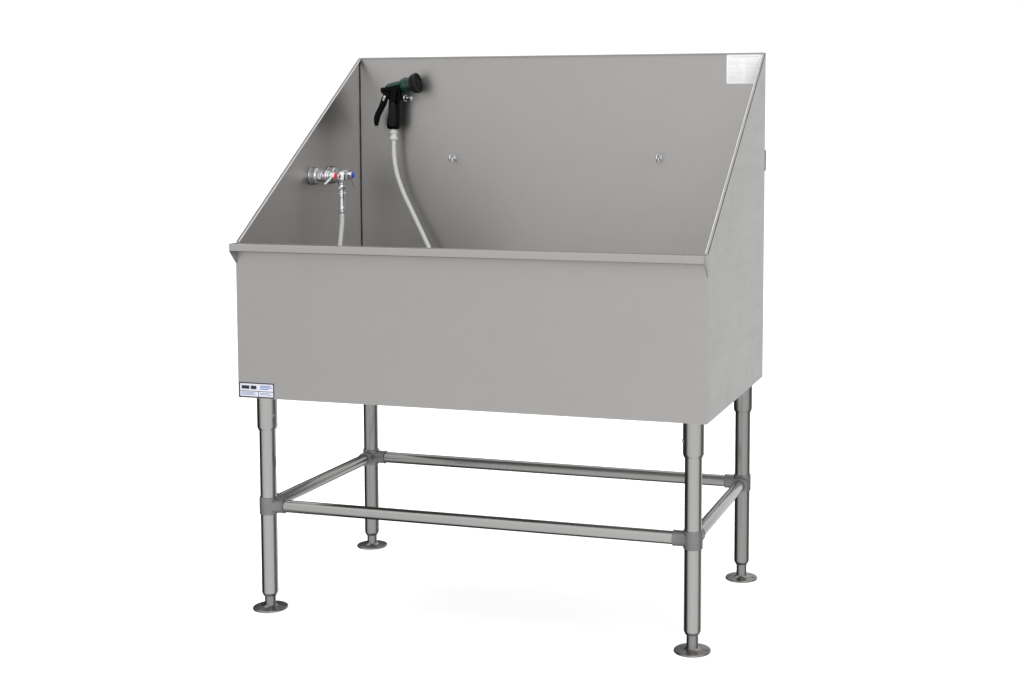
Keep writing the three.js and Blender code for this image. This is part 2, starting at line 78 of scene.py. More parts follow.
TUB_W, TUB_D, SHEET = 1219.2, 685.8, 2.0
W2 = TUB_W / 2
X_IN = W2 - SHEET
Y_BACK = TUB_D - SHEET
LEG_X, LEG_Y = 564.0, {"front": 59.0, "back": 641.5}
CORNERS = [
    ("front_left", -1, 59.0, 34.0),
    ("front_right", 1, 59.0, 41.5),
    ("back_left", -1, 641.5, 34.0),
    ("back_right", 1, 641.5, 41.5),
]
RAIL_Z = 272.5
GUN_X, GUN_Y = -4.6, 648.0

# ------------------------------------------------------------------ camera
F_PX, PPX, PPY = 1404.97, 645.0, 250.0
CAM = P(1324.87, -3123.31, 1218.81)
YAW, PITCH, ROLL = 0.27024, 0.07882, 0.00353
fwd = Vector((-math.sin(YAW) * math.cos(PITCH), math.cos(YAW) * math.cos(PITCH), -math.sin(PITCH)))
right = fwd.cross(Vector((0, 0, 1))).normalized()
up = right.cross(fwd)
r2 = right * math.cos(ROLL) + up * math.sin(ROLL)
u2 = up * math.cos(ROLL) - right * math.sin(ROLL)
cam_data = bpy.data.cameras.new("camera")
cam = bpy.data.objects.new("camera", cam_data)
scene.collection.objects.link(cam)
cam.matrix_world = Matrix(
    (
        (r2.x, u2.x, -fwd.x, CAM.x),
        (r2.y, u2.y, -fwd.y, CAM.y),
        (r2.z, u2.z, -fwd.z, CAM.z),
        (0, 0, 0, 1),
    )
)
cam_data.sensor_width = 36
cam_data.lens = F_PX * 36 / 1024
cam_data.shift_x = (512 - PPX) / 1024
cam_data.shift_y = (PPY - 341.5) / 1024
cam_data.clip_end = 60
scene.camera = cam


# ------------------------------------------------------------------ node helpers
class Mat:
    def __init__(self, name):
        self.m = bpy.data.materials.new(name)
        self.m.use_nodes = True
        self.t = self.m.node_tree
        self.t.nodes.clear()
        self.out = self.t.nodes.new("ShaderNodeOutputMaterial")
        self.b = self.t.nodes.new("ShaderNodeBsdfPrincipled")
        self.t.links.new(self.b.outputs[0], self.out.inputs[0])

    def node(self, kind, **props):
        n = self.t.nodes.new(kind)
        for k, v in props.items():
            setattr(n, k, v)
        return n

    def link(self, a, b):
        self.t.links.new(a, b)

    def set(self, **values):
        names = {
            "color": "Base Color", "metallic": "Metallic", "rough": "Roughness", "ior": "IOR", "spec": "Specular IOR Level",
            "aniso": "Anisotropic", "coat": "Coat Weight", "coat_rough": "Coat Roughness", "sheen": "Sheen Weight",
            "subsurface": "Subsurface Weight",
        }
        for k, v in values.items():
            s = self.b.inputs[names[k]]
            s.default_value = (*v, 1.0) if k == "color" and len(v) == 3 else v

    def coords(self, scale=(1, 1, 1), rot=(0, 0, 0)):
        tc = self.node("ShaderNodeTexCoord")
        mp = self.node("ShaderNodeMapping")
        mp.inputs["Scale"].default_value = scale
        mp.inputs["Rotation"].default_value = rot
        self.link(tc.outputs["Object"], mp.inputs["Vector"])
        return mp.outputs["Vector"]

    def noise(self, vec, scale, detail=3, rough=0.5, distortion=0.0):
        n = self.node("ShaderNodeTexNoise")
        n.inputs["Scale"].default_value = scale
        n.inputs["Detail"].default_value = detail
        n.inputs["Roughness"].default_value = rough
        n.inputs["Distortion"].default_value = distortion
        self.link(vec, n.inputs["Vector"])
        return n.outputs[0]

    def ramp(self, fac, lo, hi, a=0.3, b=0.7):
        n = self.node("ShaderNodeMapRange")
        n.inputs["From Min"].default_value = a
        n.inputs["From Max"].default_value = b
        n.inputs["To Min"].default_value = lo
        n.inputs["To Max"].default_value = hi
        self.link(fac, n.inputs["Value"])
        return n.outputs[0]

    def math(self, op, a, b=None):
        n = self.node("ShaderNodeMath", operation=op)
        for i, v in enumerate((a, b)):
            if v is None:
                continue
            if isinstance(v, (int, float)):
                n.inputs[i].default_value = v
            else:
                self.link(v, n.inputs[i])
        return n.outputs[0]

    def mix(self, fac, c1, c2):
        n = self.node("ShaderNodeMix", data_type="RGBA")
        if isinstance(fac, (int, float)):
            n.inputs[0].default_value = fac
        else:
            self.link(fac, n.inputs[0])
        for i, c in ((6, c1), (7, c2)):
            if isinstance(c, (tuple, list)):
                n.inputs[i].default_value = (*c, 1.0) if len(c) == 3 else c
            else:
                self.link(c, n.inputs[i])
        return n.outputs[2]

    def bump(self, height, strength=0.2, distance=0.0005, chain=None):
        n = self.node("ShaderNodeBump")
        n.inputs["Strength"].default_value = strength
        n.inputs["Distance"].default_value = distance
        self.link(height, n.inputs["Height"])
        if chain is not None:
            self.link(chain, n.inputs["Normal"])
        return n.outputs[0]

    def into(self, **links):
        names = {"color": "Base Color", "rough": "Roughness", "normal": "Normal", "metallic": "Metallic", "tangent": "Tangent"}
        for k, v in links.items():
            self.link(v, self.b.inputs[names[k]])


def brushed(name, base, rough, grain, aniso=0.55, turn=0.25, axis="Z", streak=0.03, bump=0.02, dark=0.975, wave=0.0):
    """Brushed stainless steel. grain is the axis along which the brushing runs."""
    k = Mat(name)
    k.set(metallic=1.0, aniso=aniso)
    k.b.inputs["Anisotropic Rotation"].default_value = turn
    fine = k.coords(tuple(14.0 if a == grain else 1100.0 for a in "xyz"))
    wide = k.coords(tuple(1.2 if a == grain else 46.0 for a in "xyz"))
    plain = k.coords()
    f = k.noise(fine, 1.0, 3, 0.6)
    w = k.noise(wide, 1.0, 4, 0.55)
    s = k.noise(plain, 2.4, 3, 0.5, 0.4)
    prints = k.noise(plain, 17.0, 4, 0.6, 0.8)
    mixed = k.math("ADD", k.math("MULTIPLY", f, 0.55), k.math("MULTIPLY", w, 0.45))
    shade = k.mix(k.ramp(mixed, 0.0, 1.0, 0.36, 0.64), tuple(c * dark for c in base), base)
    n = k.node("ShaderNodeMix", data_type="RGBA", blend_type="MULTIPLY")
    n.inputs[0].default_value = 1.0
    k.link(shade, n.inputs[6])
    k.link(k.mix(k.ramp(s, 0.0, 1.0, 0.35, 0.7), (0.965, 0.965, 0.968), (1, 1, 1)), n.inputs[7])
    r = k.math("ADD", k.ramp(mixed, rough - streak, rough + streak, 0.35, 0.65), k.ramp(s, -0.02, 0.025, 0.3, 0.7))
    r = k.math("ADD", r, k.ramp(prints, 0.0, 0.03, 0.5, 0.68))
    normal = k.bump(mixed, bump, 0.0002)
    if wave:
        # the sheet isn't perfectly flat: long, very shallow waves
        normal = k.bump(k.noise(k.coords(), 2.1, 1, 0.4), wave, 0.02, chain=normal)
    k.into(color=n.outputs[2], rough=r, normal=normal)
    tan = k.node("ShaderNodeTangent", direction_type="RADIAL", axis=axis)
    k.into(tangent=tan.outputs[0])
    return k.m


def polished(name, base, rough, metallic=1.0, spots=0.04, scale=90.0, bump=0.02, coat=0.0):
    """Smooth metal or plastic with faint water marks and roughness changes."""
    k = Mat(name)
    k.set(metallic=metallic, coat=coat)
    v = k.coords()
    n1 = k.noise(v, scale, 4, 0.55)
    n2 = k.noise(v, scale * 0.18, 2, 0.5, 0.3)
    m = k.math("ADD", k.math("MULTIPLY", n1, 0.5), k.math("MULTIPLY", n2, 0.5))
    k.into(
        color=k.mix(k.ramp(m, 0, 1, 0.35, 0.65), tuple(c * 0.93 for c in base), tuple(min(1, c * 1.03) for c in base)),
        rough=k.ramp(m, max(0.02, rough - spots), rough + spots, 0.35, 0.65),
        normal=k.bump(n1, bump, 0.0002),
    )
    return k.m


def grained(name, base, rough, scale, bump, metallic=0.0, tone=0.85, wear=None, spec=0.5):
    """Moulded or cast surface: pebbled bump, with mottled colour, and lighter worn spots if asked for."""
    k = Mat(name)
    k.set(metallic=metallic, spec=spec)
    v = k.coords()
    vor = k.node("ShaderNodeTexVoronoi")
    vor.inputs["Scale"].default_value = scale
    k.link(v, vor.inputs["Vector"])
    n = k.noise(v, scale * 0.6, 5, 0.6)
    big = k.noise(v, scale * 0.05, 3, 0.5)
    col = k.mix(k.ramp(big, 0, 1, 0.3, 0.7), tuple(c * tone for c in base), base)
    if wear:
        col = k.mix(k.ramp(k.noise(v, scale * 0.12, 4, 0.7), 0, 0.55, 0.56, 0.74), col, wear)
    h = k.math("ADD", k.math("MULTIPLY", n, 0.7), k.math("MULTIPLY", vor.outputs["Distance"], 0.5))
    k.into(color=col, rough=k.ramp(n, rough - 0.06, rough + 0.06, 0.3, 0.7), normal=k.bump(h, bump, 0.0004))
    return k.m


STEEL = (0.452, 0.445, 0.437)
TUBE = (0.455, 0.45, 0.441)
M = {
    "steel_x": brushed("brushed_steel_x", STEEL, 0.41, "x", wave=0.06),
    "steel_y": brushed("brushed_steel_y", STEEL, 0.39, "y", wave=0.06),
    "steel_fold": brushed("brushed_steel_fold", STEEL, 0.32, "x"),
    "steel_floor": brushed("brushed_steel_floor", STEEL, 0.36, "x", wave=0.03),
    "tube": brushed("tube_steel", TUBE, 0.16, "z", aniso=0.35, streak=0.1, dark=0.93, turn=0.0, axis="Z"),
    "tube_x": brushed("tube_steel_x", TUBE, 0.2, "x", aniso=0.35, streak=0.1, dark=0.93, turn=0.0, axis="X"),
    "tube_y": brushed("tube_steel_y", TUBE, 0.2, "y", aniso=0.35, streak=0.1, dark=0.93, turn=0.0, axis="Y"),
    # darker copies of the tube steel for the back legs, the back rail and the left rail: painted shade, the same steel
    # as the front legs and rails
    "tube_back": brushed("tube_steel_back", tuple(c * 0.7 for c in TUBE), 0.22, "z", aniso=0.35, streak=0.1, dark=0.93, turn=0.0, axis="Z"),
    "tube_x_back": brushed("tube_steel_x_back", tuple(c * 0.74 for c in TUBE), 0.22, "x", aniso=0.35, streak=0.1, dark=0.93, turn=0.0, axis="X"),
    "tube_y_back": brushed("tube_steel_y_back", tuple(c * 0.82 for c in TUBE), 0.22, "y", aniso=0.35, streak=0.1, dark=0.93, turn=0.0, axis="Y"),
    "foot": polished("foot_steel", (0.28, 0.275, 0.27), 0.28, spots=0.08, bump=0.06),
    "cast": grained("cast_fitting", (0.24, 0.238, 0.236), 0.45, 700.0, 0.25, metallic=0.68, tone=0.86),
    "chrome": polished("chrome", (0.78, 0.78, 0.79), 0.09, spots=0.03),
    "chrome_dull": polished("chrome_dull", (0.5, 0.5, 0.505), 0.2, spots=0.05),
    "zinc": polished("zinc_plate", (0.55, 0.56, 0.57), 0.24, spots=0.05),
    "brass": polished("brass", (0.62, 0.46, 0.22), 0.25, spots=0.05),
    "rubber": grained("black_rubber", (0.008, 0.008, 0.008), 0.55, 900.0, 0.3, spec=0.2),
    # near-white, half-metal strip for the slope folds: painted highlight along the fold
    "fold_line": polished("fold_line", (0.9, 0.9, 0.89), 0.35, metallic=0.4, spots=0.04),
    # a lighter, half-diffuse copy of the chrome for the tap levers: painted highlight, not a different plating
    "lever_chrome_painted_highlight": polished("lever_chrome_painted_highlight", (0.86, 0.86, 0.87), 0.22, metallic=0.5, spots=0.04),
    "seam": grained("seam_shadow", (0.012, 0.012, 0.012), 0.6, 400.0, 0.1),
    "ring": grained("spray_ring_rubber", (0.016, 0.014, 0.013), 0.34, 900.0, 0.2, spec=0.15),
    "plastic": grained("black_plastic", (0.0025, 0.0025, 0.0025), 0.3, 1500.0, 0.1, spec=0.07),
    "grip": grained("black_grip", (0.0025, 0.0025, 0.0025), 0.38, 1100.0, 0.3, spec=0.07),
    "green": polished("green_paint", (0.002, 0.038, 0.027), 0.16, metallic=0.5, spots=0.05, coat=0.35),
    "grey_plastic": grained("grey_plastic", (0.74, 0.74, 0.72), 0.3, 1200.0, 0.08),
    "white": grained("white_sheet", (1.0, 1.0, 1.0), 0.45, 600.0, 0.04, tone=0.98),
    "plate": grained("plate_sheet", (0.66, 0.66, 0.72), 0.4, 600.0, 0.04, tone=0.94),
    "ink": grained("dark_print", (0.008, 0.01, 0.035), 0.5, 600.0, 0.04),
    "ink_grey": grained("grey_print", (0.74, 0.75, 0.78), 0.5, 600.0, 0.04),
    "ink_blue": grained("blue_print", (0.06, 0.16, 0.42), 0.5, 600.0, 0.04),
    "red": polished("red_button", (0.85, 0.015, 0.05), 0.2, metallic=0.0, spots=0.04, coat=0.4),
    "blue": polished("blue_button", (0.012, 0.06, 0.62), 0.2, metallic=0.0, spots=0.04, coat=0.4),
    "weld": grained("weld_bead", (0.42, 0.42, 0.41), 0.38, 500.0, 0.3, metallic=1.0, tone=0.85),
    "silicone": grained("sealant", (0.5, 0.5, 0.5), 0.4, 300.0, 0.1),
}


# ------------------------------------------------------------------ mesh helpers
def obj_from(name, verts, faces, mat, body="tub", smooth=True, angle=35, replaces=(), slot=None, mats=None, face_mats=None):
    me = bpy.data.meshes.new(name)
    me.from_pydata([tuple(v) for v in verts], [], faces)
    me.validate()
    bm = bmesh.new()
    bm.from_mesh(me)
    bmesh.ops.recalc_face_normals(bm, faces=bm.faces)
    bm.to_mesh(me)
    bm.free()
    o = bpy.data.objects.new(name, me)
    scene.collection.objects.link(o)
    for m in mats or [mat]:
        me.materials.append(M[m] if isinstance(m, str) else m)
    if face_mats:
        me.polygons.foreach_set("material_index", face_mats)
    if smooth:
        me.polygons.foreach_set("use_smooth", [True] * len(me.polygons))
        me.set_sharp_from_angle(angle=math.radians(angle))
    if body:
        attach(o, body)
    if replaces:
        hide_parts(*([replaces] if isinstance(replaces, str) else replaces))
    return o


def rounded(profile, r, n=3, closed=False):
    """Rounds the corners of a polyline of (a, b) pairs by up to r."""
    out = []
    count = len(profile)
    for i, p in enumerate(profile):
        if not closed and i in (0, count - 1):
            out.append(tuple(p))
            continue
        a, b = Vector(profile[i - 1]), Vector(profile[(i + 1) % count])
        q = Vector(p)
        d1, d2 = a - q, b - q
        if d1.length < 1e-6 or d2.length < 1e-6:
            continue
        ang = d1.angle(d2)
        if ang > math.radians(172):
            out.append(tuple(q))
            continue
        k = min(r, d1.length * 0.45, d2.length * 0.45)
        s, e = q + d1.normalized() * k, q + d2.normalized() * k
        for j in range(n + 1):
            t = j / n
            out.append(tuple((1 - t) ** 2 * s + 2 * t * (1 - t) * q + t * t * e))
    return out


def lathe_data(profile, at, axis, seg=48, ripple=None):
    """Vertices and faces of a turned solid. profile: (radius, height) in mm. ripple(angle, height) scales the radius."""
    q = Vector((0, 0, 1)).rotation_difference(Vector(axis).normalized())
    at = Vector(at)
    verts, faces, rings = [], [], []
    for r, h in profile:
        if r < 1e-6:
            verts.append(at + q @ Vector((0, 0, h / 1000)))
            rings.append([len(verts) - 1])
        else:
            ring = []
            for i in range(seg):
                a = 2 * math.pi * i / seg
                k = r * (ripple(a, h) if ripple else 1)
                verts.append(at + q @ Vector((k * math.cos(a), k * math.sin(a), h)) / 1000)
                ring.append(len(verts) - 1)
            rings.append(ring)
    for a, b in zip(rings, rings[1:]):
        for i in range(seg):
            j = (i + 1) % seg
            if len(a) == 1 and len(b) == 1:
                continue
            if len(a) == 1:
                faces.append((a[0], b[i], b[j]))
            elif len(b) == 1:
                faces.append((a[i], b[0], a[j]))
            else:
                faces.append((a[i], b[i], b[j], a[j]))
    if len(rings[0]) > 1 and profile[0] == profile[-1]:
        # closed ring: weld the last loop onto the first
        base, last = rings[0], rings[-1]
        swap = dict(zip(last, base))
        faces = [tuple(swap.get(v, v) for v in f) for f in faces]
        verts = verts[: last[0]]
    return verts, faces


def lathe(name, profile, at, axis=(0, 0, 1), mat="steel_x", body="tub", seg=48, fillet=0.0, ripple=None, **kw):
    prof = rounded(profile, fillet) if fillet else profile
    v, f = lathe_data(prof, at, axis, seg, ripple)
    return obj_from(name, v, f, mat, body, **kw)


def frames(points, closed=False):
    """Parallel-transport frames along a polyline."""
    n = len(points)
    tangents = []
    for i in range(n):
        a = points[i - 1] if (i or closed) else points[0]
        b = points[(i + 1) % n] if (i < n - 1 or closed) else points[-1]
        tangents.append((b - a).normalized())
    ref = Vector((0, 0, 1)) if abs(tangents[0].z) < 0.9 else Vector((1, 0, 0))
    nrm = (ref - tangents[0] * ref.dot(tangents[0])).normalized()
    out = []
    for i, t in enumerate(tangents):
        if i:
            q = tangents[i - 1].rotation_difference(t)
            nrm = q @ nrm
        nrm = (nrm - t * nrm.dot(t)).normalized()
        out.append((t, nrm, t.cross(nrm)))
    return out


def sweep_data(points, section, scale=None, closed=False, roll=None):
    """section: (a, b) pairs in metres. Ends are closed with a fan."""
    fr = frames(points, closed)
    verts, faces = [], []
    m = len(section)
    for i, (p, (t, n, b)) in enumerate(zip(points, fr)):
        k = scale(i / (len(points) - 1)) if scale else (1, 1)
        for sa, sb in section:
            verts.append(p + n * sa * k[0] + b * sb * k[1])
    rows = len(points)
    for i in range(rows if closed else rows - 1):
        for j in range(m):
            a, b2 = i * m + j, i * m + (j + 1) % m
            c, d = ((i + 1) % rows) * m + (j + 1) % m, ((i + 1) % rows) * m + j
            faces.append((a, b2, c, d))
    if not closed:
        faces.append(tuple(range(m))[::-1])
        faces.append(tuple((rows - 1) * m + j for j in range(m)))
    return verts, faces


def circle(r, n):
    return [(r * math.cos(2 * math.pi * i / n), r * math.sin(2 * math.pi * i / n)) for i in range(n)]


def catmull(points, per=8):
    """Centripetal Catmull-Rom through the points."""
    pts = [points[0] * 2 - points[1], *points, points[-1] * 2 - points[-2]]
    out = []
    for i in range(1, len(pts) - 2):
        p0, p1, p2, p3 = pts[i - 1 : i + 3]
        t0 = 0.0
        t1 = t0 + (p1 - p0).length ** 0.5
        t2 = t1 + (p2 - p1).length ** 0.5
        t3 = t2 + (p3 - p2).length ** 0.5
        for j in range(per):
            t = t1 + (t2 - t1) * j / per
            a1 = p0 * ((t1 - t) / (t1 - t0)) + p1 * ((t - t0) / (t1 - t0))
            a2 = p1 * ((t2 - t) / (t2 - t1)) + p2 * ((t - t1) / (t2 - t1))
            a3 = p2 * ((t3 - t) / (t3 - t2)) + p3 * ((t - t2) / (t3 - t2))
            b1 = a1 * ((t2 - t) / (t2 - t0)) + a2 * ((t - t0) / (t2 - t0))
            b2 = a2 * ((t3 - t) / (t3 - t1)) + a3 * ((t - t1) / (t3 - t1))
            out.append(b1 * ((t2 - t) / (t2 - t1)) + b2 * ((t - t1) / (t2 - t1)))
    out.append(points[-1].copy())
    return out


def join_data(*parts):
    verts, faces = [], []
    for v, f in parts:
        k = len(verts)
        verts += list(v)
        faces += [tuple(i + k for i in face) for face in f]
    return verts, faces


def box_data(lo, hi):
    x0, y0, z0 = lo
    x1, y1, z1 = hi
    v = [P(x, y, z) for z in (z0, z1) for y in (y0, y1) for x in (x0, x1)]
    return v, [(0, 2, 3, 1), (4, 5, 7, 6), (0, 1, 5, 4), (2, 6, 7, 3), (0, 4, 6, 2), (1, 3, 7, 5)]


def prism_data(outline, to3, a, b, bevel=0.0, n=3):
    """A flat outline pushed from a to b, with rounded long edges. to3(u, v, w) gives the point."""
    verts, faces = [], []
    c = Vector((sum(p[0] for p in outline) / len(outline), sum(p[1] for p in outline) / len(outline)))
    count = len(outline)

    def inset(d):
        out = []
        for i, p in enumerate(outline):
            p0, p1, p2 = Vector(outline[i - 1]), Vector(p), Vector(outline[(i + 1) % count])
            e1, e2 = (p1 - p0), (p2 - p1)
            if e1.length < 1e-9 or e2.length < 1e-9:
                out.append(tuple(p1)); continue
            n1, n2 = Vector((-e1.y, e1.x)).normalized(), Vector((-e2.y, e2.x)).normalized()
            m = (n1 + n2)
            m = m.normalized() if m.length > 1e-6 else n1
            k = max(0.35, m.dot(n1))
            out.append(tuple(p1 + m * (d / k)))
        return out

    area = sum(outline[i - 1][0] * outline[i][1] - outline[i][0] * outline[i - 1][1] for i in range(count))
    sgn = 1 if area > 0 else -1
    steps = []
    if bevel > 0:
        for j in range(n + 1):
            t = j / n * math.pi / 2
            steps.append((bevel * (1 - math.sin(t)), a + bevel * (1 - math.cos(t))))
        for j in range(n + 1):
            t = j / n * math.pi / 2
            steps.append((bevel * (1 - math.cos(t)), b - bevel * (1 - math.sin(t))))
    else:
        steps = [(0, a), (0, b)]
    for d, w in steps:
        for u, v in inset(d * sgn) if d > 1e-9 else outline:
            verts.append(to3(u, v, w))
    for i in range(len(steps) - 1):
        for j in range(count):
            k = (j + 1) % count
            faces.append((i * count + j, i * count + k, (i + 1) * count + k, (i + 1) * count + j))
    faces.append(tuple(range(count))[::-1])
    faces.append(tuple((len(steps) - 1) * count + j for j in range(count)))
    return verts, faces


def apply_modifiers(o):
    bpy.context.view_layer.update()
    dg = bpy.context.evaluated_depsgraph_get()
    me = bpy.data.meshes.new_from_object(o.evaluated_get(dg))
    o.modifiers.clear()
    old = o.data
    o.data = me
    bpy.data.meshes.remove(old)


def boolean(o, others, op="UNION"):
    for x in others:
        m = o.modifiers.new("b", "BOOLEAN")
        m.operation = op
        m.solver = "EXACT"
        m.object = x
        apply_modifiers(o)
        bpy.data.objects.remove(x, do_unlink=True)
    return o


def temp(data, name="temp"):
    me = bpy.data.meshes.new(name)
    me.from_pydata([tuple(v) for v in data[0]], [], data[1])
    bm = bmesh.new()
    bm.from_mesh(me)
    bmesh.ops.recalc_face_normals(bm, faces=bm.faces)
    bm.to_mesh(me)
    bm.free()
    o = bpy.data.objects.new(name, me)
    scene.collection.objects.link(o)
    return o


def finish_piece(o, name, mat, body="tub", angle=35, replaces=()):
    o.name = name
    o.data.name = name
    o.data.materials.clear()
    o.data.materials.append(M[mat])
    o.data.polygons.foreach_set("use_smooth", [True] * len(o.data.polygons))
    o.data.polygons.foreach_set("material_index", [0] * len(o.data.polygons))
    o.data.set_sharp_from_angle(angle=math.radians(angle))
    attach(o, body)
    if replaces:
        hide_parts(*([replaces] if isinstance(replaces, str) else replaces))
    return o


def finish_cad(node, mat, bevel=0.0, angle=30):
    """A CAD node that stays: fine material, eased edges."""
    o = NODES[node]
    o.data.materials.clear()
    o.data.materials.append(M[mat])
    if bevel:
        b = o.modifiers.new("eased_edges", "BEVEL")
        b.width = bevel / 1000
        b.segments = 2
        b.limit_method = "ANGLE"
        b.angle_limit = math.radians(40)
        b.harden_normals = False
    return o


# ------------------------------------------------------------------ hose route, the same points as the CAD tube
HOSE = [
    (-524.6, 100.55, 1007.6), (-524.6, 99.55, 985), (-526.6, 90.55, 925), (-527.6, 75.55, 860), (-527.6, 56.55, 790),
    (-525.6, 32.55, 722), (-522.6, 0.55, 660), (-518.6, -41.45, 614), (-512, -77.45, 594.5), (-495, -119.45, 589.29),
    (-469, -174.45, 588.67), (-406, -211.45, 587.18), (-333, -204.45, 585.46), (-275, -151.45, 584.09), (-245, -77.45, 583.38),
    (-237, 5.55, 583.19), (-239, 78.55, 591.5), (-249, 152.55, 634), (-269, 210.55, 705), (-289, 245.55, 775),
    (-313, 270.55, 845), (-347, 288.55, 904), (-378, 296.55, 959), (-408, 300.55, 1014), (-436, 303.55, 1069),
    (-454, 306.05, 1117.5), (-462.5, 307.95, 1165), (-463.6, 308.55, 1190), (-463.6, 308.55, 1213.6),
]
HOSE_R = 0.0065


def build_hose():
    line = catmull([Vector(p) / 1000 for p in HOSE], 10)
    total = [0.0]
    for a, b in zip(line, line[1:]):
        total.append(total[-1] + (b - a).length)
    v, f = sweep_data(line, circle(HOSE_R, 20))
    me = bpy.data.meshes.new("hose")
    me.from_pydata([tuple(x) for x in v], [], f)
    o = bpy.data.objects.new("hose_tube", me)
    scene.collection.objects.link(o)
    att = me.attributes.new("run", "FLOAT", "POINT")
    att.data.foreach_set("value", [total[i // 20] for i in range(len(v))])
    me.polygons.foreach_set("use_smooth", [True] * len(me.polygons))
    k = Mat("hose_skin")
    k.set(metallic=0.0)
    at = k.node("ShaderNodeAttribute", attribute_name="run", attribute_type="GEOMETRY")
    ribs = k.math("SINE", k.math("MULTIPLY", at.outputs["Fac"], 2 * math.pi / 0.0042))
    vec = k.coords()
    n = k.noise(vec, 260.0, 4, 0.6)
    big = k.noise(vec, 14.0, 2, 0.5)
    # colour runs darker in the grooves and lighter on the crests of the ribs: painted shade and highlight following the
    # relief
    col = k.mix(k.ramp(ribs, 0, 1, -1, 1), (0.58, 0.58, 0.57), (0.8, 0.8, 0.79))
    col = k.mix(k.ramp(big, 0, 0.35, 0.35, 0.7), col, (0.62, 0.625, 0.63))
    k.into(color=col, rough=k.ramp(n, 0.3, 0.46, 0.3, 0.7), normal=k.bump(k.math("ADD", ribs, n), 0.35, 0.0004))
    me.materials.append(k.m)
    return o, line, total[-1]


hose, hose_line, hose_length = build_hose()
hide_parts("hose")
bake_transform(hose)
tuple(hose_line[0])
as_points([tuple(p) for p in hose_line[::4]] + [tuple(hose_line[-1])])


# ------------------------------------------------------------------ legs, sockets, tees, rails and feet
def z_up(x, y):
    return P(x, y, 0)


def hexagon(r):
    return [(r * math.cos(math.radians(60 * i + 30)), r * math.sin(math.radians(60 * i + 30))) for i in range(6)]


def set_screw(name, at, direction, r=4.2, length=5.0, body="tub", mat="zinc"):
    """A socket-head set screw seen from outside: short plug with a hexagon recess and an eased rim."""
    d = Vector(direction).normalized()
    outer = temp(lathe_data(rounded([(0, -length), (r, -length), (r, 0), (0, 0)], 0.7), at, d, 28))
    side = Vector((0, 0, 1)) if abs(d.z) < 0.9 else Vector((1, 0, 0))
    a = d.cross(side).normalized()
    b = d.cross(a)
    hexa = prism_data(hexagon(r * 0.55), lambda u, v, w: at + (a * u + b * v + d * w) / 1000, -2.4, 1.0)
    return finish_piece(boolean(outer, [temp(hexa)], "DIFFERENCE"), name, mat, body)


